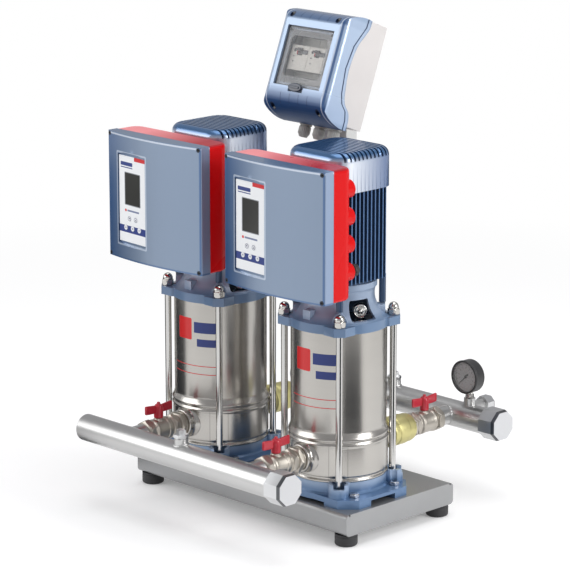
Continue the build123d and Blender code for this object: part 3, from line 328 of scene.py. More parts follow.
def cowlFinish(crownShade, front, rearShade, fluteShade, crownFrom, cornerFrom, fadeFrom, fluteStep, rearFrom,
               rearLength):
    # metallic enamel with painted light: sides painted pale at the front as a painted reflection, going
    # to blue at the rear as painted shade, a crown and corners painted blue as painted shade, and fine
    # upright flutes, one to each fin below, painted darker as shade in their grooves, that fade out
    # toward the crown
    s = Sheet("cowlEnamel", front, 0.22, 0.6, Coat_Weight=0.5, Coat_Roughness=0.1)
    _, y, z = s.point()
    u, v = s.across(), y - pumpY
    slow = s.noise(9.0, 2.0)
    farU, farV = s.far(u), s.far(v)
    side = s.above(farU, farV, 6.0)
    along = u * (1.0 - side) + v * side
    run = s.far(s.maths("SINE", along * (pi / fluteStep)))
    fade = 1.0 - s.above(z, fadeFrom, 44.0)
    corner = s.above(s.least(farU, farV), cornerFrom, 16.0)
    high = s.most(s.above(z, crownFrom, 11.0), corner * 0.9)
    # painted shade toward the rear, on the crown and corners, and in the flutes' grooves
    s.paint(s.clamp((v - rearFrom) / rearLength), rearShade)
    s.paint(s.clamp(high + (slow - 0.5) * 0.3), crownShade)
    s.paint((1.0 - s.clamp(run * 1.9)) * fade * 0.6, fluteShade)
    s.roughen(0.24, slow, 0.1)
    s.bump(run ** 0.5 * fade, 0.0008)
    return s


give(cowlFinish(**cowlLook), "fan_cowls")


housingLook = dict(red=(208, 4, 8), top=(164, 24, 34), whitened=(238, 140, 144), rib=(120, 12, 22),
                   topFrom=663.5, ribFrom=-126.0, ribHalf=92.0, ribStep=2.5)


def housingFinish(red, top, whitened, rib, topFrom, ribFrom, ribHalf, ribStep):
    # gloss red; the top is painted darker as painted shade and paler toward the left as a painted
    # reflection, and carries a row of short ribs at its back, painted darker as painted shade
    s = Sheet("redHousingPaint", red, 0.3, 0.0, Specular_IOR_Level=0.18)
    _, y, z = s.point()
    u = s.across()
    slow = s.noise(6.0, 2.0)
    upper = s.above(z, topFrom, 3.0)
    # painted shade on the top, then a pale painted reflection toward its left
    s.paint(upper, top)
    s.paint(upper * s.clamp(slow * 0.6 + 0.5 - (u + 40.0) / 150.0), whitened)
    back = upper * s.above(y - u * u / 900.0, ribFrom, 1.5) * s.between(u, -ribHalf, ribHalf, 1.0)
    ribs = s.stripes(u, ribStep, 1.1)
    # the rib band painted darker as painted shade
    s.paint(back * (0.35 + ribs * 0.4), rib)
    s.roughen(0.28, slow, 0.1)
    s.bump(s.noise(600.0, 2.0) * 0.02 + ribs * back, 0.0006)
    return s


give(housingFinish(**housingLook), "inverter_housings")


coverLook = dict(pale=(134, 151, 174), deep=(48, 88, 138), dark=(66, 102, 150), upperEdgeHighlight=(214, 223, 236),
                 top=(92, 120, 156), side=(142, 160, 188), lipHighlight=(198, 210, 226), fadeFrom=-10.0,
                 fadeLength=102.0, topFrom=665.2, bottom=443.0, edge=116.6, sideFrom=120.6,
                 recess=(-50.0, 549.5), recessHalf=(40.0, 82.0))


def inverterCoverFinish(pale, deep, dark, upperEdgeHighlight, top, side, lipHighlight, fadeFrom, fadeLength, topFrom, bottom,
                        edge, sideFrom, recess, recessHalf):
    # pale metal flake, painted deeper blue toward the left edge as painted shade; the front's upper
    # edge carries a painted highlight and the top painted shade, its side corners and lower edge are
    # painted dark as painted shade, its side face paler as painted light, and a pale painted highlight
    # runs round the label's recess as a lip
    s = Sheet("steelBlueCoverPaint", pale, 0.3, 0.5, Coat_Weight=0.4, Coat_Roughness=0.1)
    _, y, z = s.point()
    u = s.across()
    slow = s.noise(7.0, 2.0)
    # painted shade that deepens toward the left edge
    s.paint(s.clamp((fadeFrom - u) / fadeLength) ** 1.5 * (0.9 + (slow - 0.5) * 0.5), deep)
    # painted highlight along the front's upper edge, painted shade on the top
    s.paint(s.between(z, topFrom - 3.6, topFrom - 0.6, 0.8) * 0.8, upperEdgeHighlight)
    s.paint(s.above(z, topFrom, 0.8) * 0.8, top)
    # painted shade on the side corners and the lower edge, painted light on the side face
    s.paint(s.between(s.far(u), edge, edge + 3.6, 0.8) * 0.8, dark)
    s.paint(s.above(u, sideFrom, 0.3) * s.above(-y, 174.5, 0.5), side)
    s.paint(s.above(-z, -bottom, 1.2) * 0.7, dark)
    # painted highlight round the label's recess
    halfA, halfB = recessHalf
    rim = s.inside(u, z, *recess, halfA + 2.6, halfB + 3.0, 3.0, 0.6)
    s.paint(rim * (1.0 - s.inside(u, z, *recess, halfA, halfB, 2.0, 0.6)) * 0.75, lipHighlight)
    s.roughen(0.3, slow, 0.1)
    s.bump(s.noise(800.0, 2.0) + slow * 0.4, 0.00002)
    return s


give(inverterCoverFinish(**coverLook), "inverter_covers")


panelLook = dict(
    middle=(-50.0, 549.75), paper=(238, 240, 242), ink=(44, 62, 128), red=(206, 40, 44),
    glass=(62, 62, 60), band=(-60.7, -47.8), corner=(6.0, 70.5), dot=(-19.5, -20.5, 2.6),
    display=(0.5, 18.8, 21.4, 28.6, 1.0),
    patches=(  # across, up, half width, half height, corner, colour
        (-16.0, 63.0, 17.0, 3.4, 1.0, (44, 62, 128)), (-16.0, 56.6, 17.0, 0.9, 0.4, (44, 62, 128)),
        (0.5, 18.8, 22.9, 29.9, 1.6, (150, 154, 160)), (2.0, -20.5, 17.0, 1.6, 0.6, (120, 130, 160))))


def panelPrint(middle, paper, ink, red, glass, band, corner, dot, display, patches):
    # printed film: display, key field, colour band and plain red field, in millimetres on the face
    s = Sheet("printedFilm", paper, 0.22)
    u, up = s.across() - middle[0], s.point()[2] - middle[1]
    s.paint(s.between(up, *band, 0.4), ink)
    s.paint(s.above(up, corner[1], 0.4) * s.above(u, corner[0], 0.4), red)
    for *patch, colour in patches:
        s.paint(s.inside(u, up, *patch), colour)
    screen = s.inside(u, up, *display)
    s.paint(screen, glass)
    s.paint(s.disc(u, up, *dot), red)
    s.feed("Roughness", 0.3 - screen * 0.2)
    s.bump(s.noise(300.0, 2.0) * 0.3 - screen, 0.00005)
    return s


give(panelPrint(**panelLook), "inverter_panels")


keyLook = dict(cap=(232, 234, 238), mark=(56, 66, 96), ring=(3.4, 4.2), arrow=1.6, dot=1.5)


def keyFinish(part, cap, mark, ring, arrow, dot):
    # white cap; the up and down keys carry a plain ring with an arrow head in it, the others a dot
    s = plasticFinish("keyCap_" + part, cap, 0.38)
    box = np.array(nodes[part].bound_box) / mm
    middleX, _, middleZ = (box.min(0) + box.max(0)) / 2
    x, _, z = s.point()
    u, v = x - middleX, z - middleZ
    radius = s.reach(u, v)
    if "up" in part or "down" in part:
        rise = v * (1.0 if "up" in part else -1.0)
        head = 1.0 - s.above(s.far(u), (arrow - rise) * 0.6, 0.4)
        picture = s.most(s.between(radius, *ring, 0.3), s.between(rise, -arrow, arrow, 0.3) * head)
    else:
        picture = s.between(radius, -1.0, dot, 0.3) * 0.7
    s.paint(s.clamp(picture), mark)
    return s


for part in nodes:
    if part.startswith("key_"):
        give(keyFinish(part, **keyLook), part)


casingLook = dict(
    steel=(188, 185, 180), seam=(120, 118, 114), seams=(49.0, 81.0), radius=84.0,
    patches=(  # around, up, half width, half height, corner, softness, colour
        (14.0, 245.0, 48.0, 0.7, 0.4, 0.3, (206, 44, 46)),
        (14.0, 230.0, 48.0, 0.7, 0.4, 0.3, (206, 44, 46)),
        (-4.0, 312.0, 17.0, 20.0, 3.0, 0.4, (208, 38, 40)),
        (40.0, 316.0, 22.0, 10.0, 1.0, 0.4, (40, 56, 120)),
        (43.0, 288.0, 19.0, 7.0, 1.0, 0.4, (40, 56, 120))))


def casingFinish(steel, seam, seams, radius, patches):
    # brushed round the shell, with a plain printed field of two fine rules and generic blocks on
    # its front, and two faint drawn seams on its foot
    s = steelFinish("stainlessCasing", steel, 0.24, (0.05, 0.05, 1), 0.000008, 0.06)
    _, y, z = s.point()
    around = s.maths("ARCTAN2", s.across(), pumpY - y) * radius
    front = y < pumpY
    ink = 0.0
    for *patch, colour in patches:
        mask = s.inside(around, z, *patch) * front
        s.paint(mask, colour)
        ink = mask + ink
    drawn = s.least(s.far(around - seams[0]), s.far(around - seams[1]))
    s.paint((1.0 - s.above(drawn, 0.7, 0.8)) * s.between(z, 101.0, 164.0, 4.0) * 0.5, seam)
    s.feed("Metallic", 1.0 - s.clamp(ink) * 0.9)
    return s


give(casingFinish(**casingLook), "pump_casings")


capLook = dict(steel=(212, 213, 214), bevel=(70, 72, 76), end=(208, 209, 211), bevelFrom=263.2,
               bevelTo=269.6)


def capFinish(steel, bevel, end, bevelFrom, bevelTo):
    # satin caps with a bevel painted dark as painted shade and a paler sanded end face
    s = steelFinish("capSteel", steel, 0.3, scratch=0.000002, streak=0.03)
    x = s.point()[0]
    face = s.above(x, bevelTo + 0.2, 0.3)
    # painted shade on the bevel
    s.paint(s.between(x, bevelFrom, bevelTo, 0.5) * 0.9, bevel)
    s.paint(face, end)
    s.feed("Metallic", 1.0 - face * 0.6)
    return s


give(capFinish(**capLook), "pipe_caps")


dialLook = dict(case=(46, 46, 47), dial=(158, 156, 156), mark=(30, 30, 31), stem=(206, 204, 200),
                middle=(188.0, 214.8), face=(254.0, 255.4), radius=27.0, sweep=270.0, stemTop=184.4)


def dialPrint(case, dial, mark, stem, middle, face, radius, sweep, stemTop):
    # black case with a bright turned stem; inside the rim a dark dial, with a long tick at every
    # tenth of its sweep and a short one at every fiftieth
    s = plasticFinish("gaugeMoulding", case, 0.36)
    x, y, z = s.point()
    dx, dz = x - middle[0], z - middle[1]
    out = s.reach(dx, dz)
    onDial = s.between(y, *face, 0.2) * (1.0 - s.above(out, radius, 0.3))
    turn = s.maths("ARCTAN2", dx, dz) * (180.0 / pi)
    swept = 1.0 - s.above(s.far(turn), sweep / 2 + 2.0, 0.5)
    start = turn + sweep / 2
    ticks = s.most(s.stripes(start, sweep / 100, 0.55) * s.between(out, 22.6, 24.4, 0.3),
                   s.stripes(start, sweep / 20, 1.0) * s.between(out, 20.0, 24.4, 0.3))
    ring = s.between(out, 24.6, 25.2, 0.3)
    # a figure stands at each long tick: a short upright dash beside a rounded block
    figures = s.between(out, 15.6, 18.2, 0.3) * s.stripes(start, sweep / 20, 3.2)
    figures = figures * s.stripes(start, 1.6, 1.0)
    below = 1.0 - s.above(z, stemTop, 0.3)
    s.paint(onDial, dial)
    s.paint(s.clamp((ticks + ring + figures * 0.8) * swept) * onDial, mark)
    s.paint(below, stem)
    s.feed("Metallic", below)
    s.feed("Roughness", 0.36 - below * 0.2)
    return s


give(dialPrint(**dialLook), "gauge_case")


def boxPlace(s):
    # (across, up, out) of the tilted control box in millimetres
    x, y, z = s.point()
    tilt = radians(boxFrame["tilt"])
    v, w = y - boxFrame["face"][1], z - boxFrame["face"][2]
    return x, v * sin(tilt) + w * cos(tilt), w * sin(tilt) - v * cos(tilt)


mouldingLook = dict(
    light=(160, 180, 206), deep=(26, 68, 116), rib=(24, 48, 88), grooveShade=(30, 54, 92),
    jointShade=(52, 88, 138), jointHighlight=(208, 220, 236), flankLight=(190, 206, 230), wellShade=(22, 44, 78),
    chinFrom=-52.0, browFrom=68.5, flankFrom=75.6, ribStep=11.0, ribHalf=45.0,
    ribRows=((69.0, 89.0), (-86.0, -67.0)), wells=((56.0, 74.0), (56.0, -91.0)), wellRadius=5.6,
    seamLow=-107.0, seamTall=200.0,
    seam=(  # share of the height, and the seam's depth there in tenths of a metre
        (0.0, 0.66), (0.085, 0.66), (0.16, 0.61), (0.215, 0.48), (0.3, 0.41), (0.515, 0.35),
        (0.725, 0.41), (0.835, 0.52), (0.915, 0.60), (1.0, 0.61)))


def mouldingFinish(light, deep, rib, grooveShade, jointShade, jointHighlight, flankLight, wellShade, chinFrom, browFrom,
                   flankFrom, ribStep, ribHalf, ribRows, wells, wellRadius, seamLow, seamTall, seam):
    # the brow and chin are painted darker as painted shade; grooves follow the seam and front corners
    # and short ribs cross the brow and chin, both painted dark as painted shade; the sides are painted
    # paler as painted light and the wells dark as painted shade
    s = Sheet("blueBoxMoulding", light, 0.28, 0.25, Coat_Weight=0.4, Coat_Roughness=0.12)
    across, up, out = boxPlace(s)
    reach = s.far(across)
    chin = s.clamp((chinFrom - up) / 30.0)
    sides = s.above(reach, flankFrom, 0.4)
    depth = s.add("ShaderNodeValToRGB", {"stops": [(spot, (d, d, d, 1)) for spot, d in seam]},
                  {0: (up - seamLow) / seamTall})
    behind = -out - depth * 100.0
    line = s.clamp((1.0 - s.above(s.far(behind + 9.0), 1.2, 0.8)) * sides)
    rim = 1.0 - s.above(s.far(behind + 1.0), 0.8, 0.5)
    rows = s.between(up, *ribRows[0], 2.0) + s.between(up, *ribRows[1], 2.0)
    ribs = s.stripes(across + ribStep, ribStep, 0.55) * rows * (reach < ribHalf)
    # painted shade on the brow and chin
    s.paint(s.most(chin, s.above(up, browFrom, 4.0) * 0.72) * (1.0 - sides * 0.8), deep)
    # painted shade on the ribs and in the grooves
    s.paint(ribs * 0.7, rib)
    s.paint(s.clamp(line + rim * 0.6), grooveShade)
    # the joint between the face and each side is painted as a fine dark line of painted shade beside
    # a pale painted highlight
    face = s.between(up, -104.0, 86.0, 4.0)
    s.paint(s.between(reach, 69.6, 73.0, 0.8) * face * 0.85, jointShade)
    s.paint(s.between(reach, 66.6, 69.2, 0.8) * face * 0.6, jointHighlight)
    # painted light on the sides
    s.paint(sides * s.between(up, -100.0, 84.0, 6.0) * 0.35 * (1.0 - line), flankLight)
    # painted shade in the wells
    for spot in wells:
        s.paint(s.disc(reach, up, *spot, wellRadius, 0.6), wellShade)
    s.feed("Roughness", 0.24 + (s.noise(11.0, 2.0) - 0.5) * 0.08 + chin * 0.3)
    s.feed("Coat Weight", 0.4 - chin * 0.4)
    s.bump(-line * 4.0 - ribs * 2.0 + s.noise(900.0, 2.0) * 0.03, 0.0004)
    return s


give(mouldingFinish(**mouldingLook), "control_cover")


windowLook = dict(  # each outline: across, up, half width, half height, corner
    smoke=(176, 179, 181), moulded=(48, 52, 58), edge=(0.0, 0.0, 54.6, 51.6, 1.5),
    notch=(0.0, -55.0, 16.0, 9.0, 1.0), field=(0.0, 0.5, 45.0, 36.5, 9.0),
    fieldInner=(0.0, 0.5, 44.0, 35.5, 8.0), latch=(0.0, -52.0, 17.0, 13.0, 2.0),
    latchInner=(0.0, -52.0, 16.2, 12.2, 1.4), pip=(50.5, 46.0, 2.6),
    clearShare=0.16, dimShare=0.22, lineShare=0.62)


def windowFinish(smoke, moulded, edge, notch, field, fieldInner, latch, latchInner, pip, clearShare,
                 dimShare, lineShare):
    # smoked sheet with a darker rim, a moulded line round its clear field and round its latch, and
    # two pips above
    s = Sheet("smokedWindow", smoke, 0.08)
    across, up, _ = boxPlace(s)
    rim = (1.0 - s.inside(across, up, *edge, 0.5)) * (1.0 - s.inside(across, up, *notch))
    middle = s.inside(across, up, *field)
    fieldLine = middle - s.inside(across, up, *fieldInner)
    latchLine = s.inside(across, up, *latch) - s.inside(across, up, *latchInner)
    pips = s.disc(s.far(across), up, *pip, 0.6)
    lines = s.clamp(fieldLine + latchLine * 0.8 + pips + rim * 0.9)
    s.paint(lines, moulded)
    s.feed("Alpha", clearShare + lines * lineShare + (1.0 - middle) * dimShare)
    return s


give(windowFinish(**windowLook), "control_window")


breakerLook = dict(
    body=(234, 231, 222), dark=(74, 76, 78), edge=(120, 120, 118), unitX=(-26.4, 16.4),
    holes=((-12.0, 13.5, 3.4, 0.5), (-13.0, 2.5, 1.5), (-12.0, -7.0, 1.5)),
    patches=(  # across, up, half width, half height, corner, colour
        (-3.0, 11.0, 5.0, 4.6, 1.5, (214, 96, 104)), (10.0, 11.0, 9.5, 4.2, 1.5, (96, 98, 100))))


def breakerFinish(body, dark, edge, unitX, holes, patches):
    # pale moulding with a dark round test button, two pin holes painted dark as painted shade, a red
    # flag and the lever's slot painted grey as painted shade
    s = plasticFinish("breakerGrey", body, 0.42)
    across, up, _ = boxPlace(s)
    u = across - unitX[0] - (across > sum(unitX) / 2) * (unitX[1] - unitX[0])
    # the test button's own dark colour, and painted shade in the two pin holes
    for hole in holes:
        s.paint(s.disc(u, up, *hole), dark)
    # a red flag, and painted shade in the lever's slot
    for *patch, colour in patches:
        s.paint(s.inside(u, up, *patch), colour)
    # thin dark outline of each unit's face
    s.paint((1.0 - s.inside(u, up, 0.0, 0.0, 20.9, 22.2, 0.6, 0.3)) * 0.35, edge)
    return s


give(breakerFinish(**breakerLook), "breakers")


glandLook = dict(grey=(172, 172, 168), black=(34, 34, 36), blackFrom=140.0)


def glandFinish(grey, black, blackFrom):
    # grey nylon under the control box, black nylon on the inverter
    s = plasticFinish("glandNylon", grey, 0.42)
    s.paint(s.above(s.point()[0], blackFrom, 5.0), black)
    return s


give(glandFinish(**glandLook), "cable_glands")
print("finishes made:", len(finishes))

for name, piece in nodes.items():
    piece.data.materials.clear()
    piece.data.materials.append(finishes[name])


def placePiece(name, mesh, node, bevel, angle, harden=True):
    # a finished piece that rides with a CAD node's body and stands for that node
    piece = bpy.data.objects.new(name, mesh)
    bpy.context.scene.collection.objects.link(piece)
    mesh.shade_smooth()
    mesh.set_sharp_from_angle(angle=radians(angle))
    mesh.materials.append(finishes[node])
    if bevel:
        soft = piece.modifiers.new("edges", "BEVEL")
        soft.width = bevel
        soft.segments = 2
        soft.limit_method = "ANGLE"
        soft.angle_limit = radians(angle)
        soft.harden_normals = harden
    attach(piece, bodyOfNode[node])
    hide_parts(node)
    print("made", name)
    return piece


softEdges = {  # the bevel of each CAD node whose edges are softened, in metres
    "fan_cowls": 0.0006, "motor_housings": 0.0004, "base_tray": 0.0007, "pump_feet": 0.0014,
    "lanterns": 0.0012, "inverter_housings": 0.0014, "inverter_covers": 0.0010,
    "control_cover": 0.0012, "control_base": 0.0012, "control_post": 0.0006, "breakers": 0.0005,
}
bowed = {"inverter_covers": (2,), "control_cover": (2, 0)}  # axes along which a bowed face is cut
strip = dict(start=0.004, step=0.009)  # where those cuts begin and how far apart they are, in metres


def softCopy(node, width):
    # a merged copy of a CAD node: coplanar triangles become whole faces, so its edges take a bevel
    work = bmesh.new()
    work.from_mesh(nodes[node].data)
    bmesh.ops.remove_doubles(work, verts=work.verts, dist=1e-6)
    if node in bowed:
        # a bowed face keeps its triangles, cut to short strips, so no long one bends its shading
        box = np.array(nodes[node].bound_box)
        low, high = box.min(0), box.max(0)
        for axis in bowed[node]:
            normal = Vector(np.eye(3)[axis])
            for spot in np.arange(low[axis] + strip["start"], high[axis], strip["step"]):
                bmesh.ops.bisect_plane(work, geom=work.verts[:] + work.edges[:] + work.faces[:],
                                       dist=1e-6, plane_co=normal * spot, plane_no=normal)
    else:
        bmesh.ops.dissolve_limit(work, angle_limit=radians(0.4), verts=work.verts, edges=work.edges)
    mesh = bpy.data.meshes.new(node + "_soft")
    work.to_mesh(mesh)
    work.free()
    piece = placePiece(node + "_soft", mesh, node, width, 28, node not in bowed)
    if node in bowed:
        smooth = piece.modifiers.new("normals", "WEIGHTED_NORMAL")
        smooth.keep_sharp = True


for node, width in softEdges.items():
    softCopy(node, width)


axes = {  # axis name: (along, across, third), right handed
    "x": ((1, 0, 0), (0, 1, 0), (0, 0, 1)), "y": ((0, 1, 0), (0, 0, 1), (1, 0, 0)),
    "z": ((0, 0, 1), (1, 0, 0), (0, 1, 0)), "-y": ((0, -1, 0), (1, 0, 0), (0, 0, 1)),
}

# A part is (grid of points in metres, whether its rows close to a ring, whether its columns do).


def rounded(points, radius, steps=4):
    # a profile whose corners become small arcs: each arc is a quadratic curve from one side to the next
    pts = [np.array(p, float) for p in points]
    out = [pts[0]]
    for before, corner, after in zip(pts, pts[1:], pts[2:]):
        inward, outward = before - corner, after - corner
        a, b = np.linalg.norm(inward), np.linalg.norm(outward)
        cut = min(radius, 0.45 * a, 0.45 * b)
        start, end = corner + inward / a * cut, corner + outward / b * cut
        t = np.linspace(0, 1, steps)[:, None]
        out.extend((1 - t) ** 2 * start + 2 * t * (1 - t) * corner + t ** 2 * end)
    return np.array(out + [pts[-1]])


def lathe(profile, centre, axis="z", sides=72, spin=0.0, radiusAt=None):
    # point = centre + along * height + radius * (across * cos(angle) + third * sin(angle))
    along, across, third = (np.array(v, float) for v in axes[axis])
    profile = np.array(profile, float)
    angle = np.linspace(0, 2 * pi, sides, endpoint=False) + spin
    radius = np.repeat(profile[:, :1], sides, 1)
    height = np.repeat(profile[:, 1:2], sides, 1)
    if radiusAt is not None:
        radius = radiusAt(radius, height, angle[None, :])
    spoke = across * np.cos(angle)[:, None] + third * np.sin(angle)[:, None]
    grid = np.array(centre, float) + height[..., None] * along + radius[..., None] * spoke
    return grid * mm, False, True


def pin(radius, low, high):
    # the profile of a plain solid rod
    return [(0, low), (radius, low), (radius, high), (0, high)]


def bar(flats, count, low, high, centre, axis="z", turn=0.0, bore=0.0, sides=96):
    # a nut or a bar with flats: the radius is the smaller of the flat-sided outline, half the flats
    # over the cosine of the angle from the flat's middle, and a cone that eases both ends
    ease = 0.07 * flats
    step = 2 * pi / count
    corner, start = flats / 2 / cos(step / 2), flats / 2 * 0.95
    spots = np.array([0, 0, 0.25, 0.5, 0.75, 1.0])
    heights = np.concatenate([low + spots * ease, high - spots[::-1] * ease])
    cone = np.concatenate([[bore], start + spots[1:] * (corner - start)])
    cone = np.concatenate([cone, cone[::-1]])

    def outline(radius, height, angle):
        away = np.mod(angle - turn, step) - step / 2
        return np.minimum(radius, flats / 2 / np.cos(away))
    grid, _, wrap = lathe(np.stack([cone, heights], 1), centre, axis, sides, turn, outline)
    return grid, bore > 0, wrap


def closed(grid):
    # the rings of a grid with a point at the middle of its first and of its last ring
    caps = [grid[k].mean(0)[None, None].repeat(grid.shape[1], 1) for k in (0, -1)]
    return np.concatenate([caps[0], grid, caps[1]])


def block(x, y, z, spot=(0, 0, 0)):
    # a plain box as two square rings
    ring = [(x[0], y[0]), (x[1], y[0]), (x[1], y[1]), (x[0], y[1])]
    grid = np.array([[(a, b, height) for a, b in ring] for height in z], float)
    return (closed(grid) + spot) * mm, False, True


def pillow(outline, low, high, ease, spot, steps=5):
    # a flat-topped button of any outline: the rim turns over as a quarter circle of radius ease
    inward = outline / np.linalg.norm(outline, axis=1, keepdims=True)
    t = np.linspace(0, pi / 2, steps)
    rings = np.concatenate([outline[None], outline - inward * ease * (1 - np.cos(t))[:, None, None]])
    heights = np.concatenate([[low], high - ease + ease * np.sin(t)])
    heights = np.broadcast_to(heights[:, None, None], rings.shape[:2] + (1,))
    return (closed(np.concatenate([rings, heights], -1)) + spot) * mm, False, True


def roundedOutline(halfA, halfB, corner, steps=8):
    # a rectangle with quarter circle corners
    turn = np.arange(4)[:, None] * pi / 2 + np.linspace(0, pi / 2, steps)
    side = np.array([[1], [-1], [-1], [1]]) * (halfA - corner)
    end = np.array([[1], [1], [-1], [-1]]) * (halfB - corner)
    return np.stack([side + corner * np.cos(turn), end + corner * np.sin(turn)], -1).reshape(-1, 2)


def moved(part, newAxes, spot):
    # point = spot + x * first new axis + y * second + z * third
    grid, wrapU, wrapV = part
    return grid @ np.array(newAxes) + np.array(spot) * mm, wrapU, wrapV


def onBox(part):
    # a part given in the control box's own (across, up, out), set on the tilted box
    tilt = radians(boxFrame["tilt"])
    return moved(part, [(1, 0, 0), (0, sin(tilt), cos(tilt)), (0, -cos(tilt), sin(tilt))],
                 boxFrame["face"])


def makeMesh(name, parts):
    # quads between the neighbours of each grid, worked out as whole arrays and put into one mesh
    points, faces, start = [], [], 0
    for grid, wrapU, wrapV in parts:
        nu, nv = grid.shape[:2]
        u, v = np.meshgrid(np.arange(nu - (not wrapU)), np.arange(nv - (not wrapV)), indexing="ij")
        u, v = u.ravel(), v.ravel()
        un, vn = (u + 1) % nu, (v + 1) % nv
        faces.append(np.stack([u * nv + v, un * nv + v, un * nv + vn, u * nv + vn], 1) + start)
        points.append(grid.reshape(-1, 3))
        start += nu * nv
    mesh = bpy.data.meshes.new(name)
    mesh.from_pydata(np.concatenate(points).tolist(), [], np.concatenate(faces).tolist())
    work = bmesh.new()
    work.from_mesh(mesh)
    bmesh.ops.remove_doubles(work, verts=work.verts, dist=2e-6)
    bmesh.ops.dissolve_degenerate(work, edges=work.edges, dist=1e-7)
    bmesh.ops.recalc_face_normals(work, faces=work.faces)
    work.to_mesh(mesh)
    work.free()
    return mesh


def addPiece(name, parts, node, angle=35, bevel=0.0):
    # one new piece worked out from its parts, in place of a CAD node
    placePiece(name, makeMesh(name, parts), node, bevel, angle)


footSize = dict(radius=20.0, height=21.0, studRadius=4.0, studTop=33.0, x=248.0, y=115.5)


def rubberFeet(radius, height, studRadius, studTop, x, y):
    # a turned foot with a shallow groove, and the stud on it
    profile = rounded([(0, 0), (radius - 3, 0), (radius - 2.6, 0.6), (radius - 1, 1.2), (radius, 3.0),
                       (radius, 16.5), (radius - 1.0, 17.3), (radius, 18.1), (radius, height),
                       (studRadius, height), (studRadius, studTop), (0, studTop)], 0.8)
    addPiece("rubberFeet", [lathe(profile, (i * x, j * y, 0)) for i, j in corners], "rubber_feet")


rubberFeet(**footSize)


boltSize = dict(flats=16.0, seat=76.0, head=6.5, radius=5.0, low=46.0, x=88.0, y=50.0, trayUnder=57.5,
                studNut=23.5)


def footBolts(flats, seat, head, radius, low, x, y, trayUnder, studNut):
    # a bolt with its nut under the tray at each corner of each pump foot, and a nut on each stud
    parts = []
    for i, j in corners:
        for px, py in pumpSpots:
            spot = (px + i * x, py + j * y, 0)
            parts += [bar(flats, 6, seat, seat + head, spot, turn=0.4 * i),
                      lathe(pin(radius, low, seat + 1), spot, sides=24),
                      bar(flats, 6, trayUnder - head, trayUnder, spot, bore=radius + 0.1)]
        spot = (i * footSize["x"], j * footSize["y"], 0)
        parts.append(bar(flats, 6, studNut, studNut + head, spot, bore=footSize["studRadius"] + 0.1))
    addPiece("footBolts", parts, "base_bolts")


footBolts(**boltSize)


rodReach = 66.9
rodSpots = [(i, (px + i * rodReach, py + j * rodReach, 0)) for px, py in pumpSpots for i, j in corners]
capNutSize = dict(flats=19.0, seat=377.0, hexHeight=11.0, height=22.5, bore=6.1)


def capNuts(flats, seat, hexHeight, height, bore):
    # hex foot with a domed cap: the dome's radius is a short neck and then follows a circle
    dome = flats / 2 - 0.5
    neck = [(bore, seat + 1), (dome - 0.8, seat + hexHeight - 0.5), (dome, seat + hexHeight + 0.8)]
    rise = np.linspace(0, pi / 2, 12)
    cap = np.stack([dome * np.cos(rise), seat + height - dome + dome * np.sin(rise)], 1)
    profile = np.concatenate([neck, cap])
    parts = []
    for i, spot in rodSpots:
        parts += [bar(flats, 6, seat, seat + hexHeight, spot, bore=bore, turn=0.3 + i * 0.2),
                  lathe(profile, spot, sides=48)]
    addPiece("capNuts", parts, "cap_nuts", angle=50)


capNuts(**capNutSize)


rodSize = dict(radius=6.0, low=84.0, high=391.0, threadLow=363.0, threadRadius=5.5)


def tieRods(radius, low, high, threadLow, threadRadius):
    # a plain rod whose thinner threaded end stands in the cap nut
    profile = [(0, low), (radius - 0.6, low), (radius, low + 0.8), (radius, low + 100),
               (radius, threadLow), (threadRadius, threadLow + 0.6), (threadRadius, high), (0, high)]
    addPiece("tieRods", [lathe(profile, spot, sides=40) for _, spot in rodSpots], "tie_rods")


tieRods(**rodSize)


casingSize = dict(low=97.0, top=362.0, barrel=87.0, tube=84.0, wall=2.5, step=176.0, bead=1.2,
                  port=25.0, portReach=99.0, bore=13.0, shaft=17.0)


def casings(low, top, barrel, tube, wall, step, bead, port, portReach, bore, shaft):
    # turned shell with rolled beads, and two drawn collars that flare into the barrel
    rolled, inner = barrel + bead, barrel - wall - 2
    outer = rounded([
        (shaft, low + 3), (shaft, low), (barrel - 1.5, low), (barrel, low + 1.5), (barrel, low + 4),
        (barrel - 1.8, low + 6), (barrel - 1.8, low + 9), (barrel, low + 11.5), (barrel, step - 17),
        (rolled, step - 14.6), (rolled, step - 11.6), (barrel - 0.3, step - 9.4),
        (barrel - 1.0, step - 8), (barrel - 0.3, step - 6.6), (rolled, step - 4.6),
        (rolled, step - 2.0), (barrel - 0.4, step + 0.8),
        (tube + 0.6, step + 6.6), (tube, step + 10), (tube, top), (tube - wall, top),
        (tube - wall, step + 8), (inner, step), (inner, low + 3), (shaft, low + 3)], 1.6, 5)
    flare = rounded([
        (bore, 78), (33.5, 78.5), (31.0, 83.5), (27.2, 86.6), (port + 0.4, 90.5), (port, 97.5),
        (port - 1.5, portReach), (bore, portReach), (bore, 78)], 2.5, 5)
    parts = []
    for px, py in pumpSpots:
        parts.append(lathe(outer, (px, py, 0), sides=160))
        parts += [lathe(flare, (px, py, portZ), axis, sides=72) for axis in ("y", "-y")]
    addPiece("casings", parts, "pump_casings", angle=60)


casings(**casingSize)


pipeSize = dict(radius=24.15, bore=21.3, half=252.0, vesselEnd=352.5, gaugeX=188.0)
plugTop, gaugeTop = 171.0, 174.0
pipeY = {"suction_manifold": (-271.5, -224.5), "delivery_manifold": (265.5, 221.5)}  # pipe, stub's end
branches = {
    "port": dict(bore=10.5, radius=16.85, inner=19, outer=15, edge=0.6, sides=64, bead=1.7),
    "plug": dict(bore=8.1, radius=12.5, inner=20, outer=18, edge=0.8, sides=56, bead=1.7),
    "vessel": dict(bore=8.65, radius=10.65, inner=22, outer=19, edge=0.0, sides=48, bead=1.7),
    "gauge": dict(bore=6.1, radius=10.5, inner=21, outer=18, edge=0.8, sides=48, bead=1.5),
}


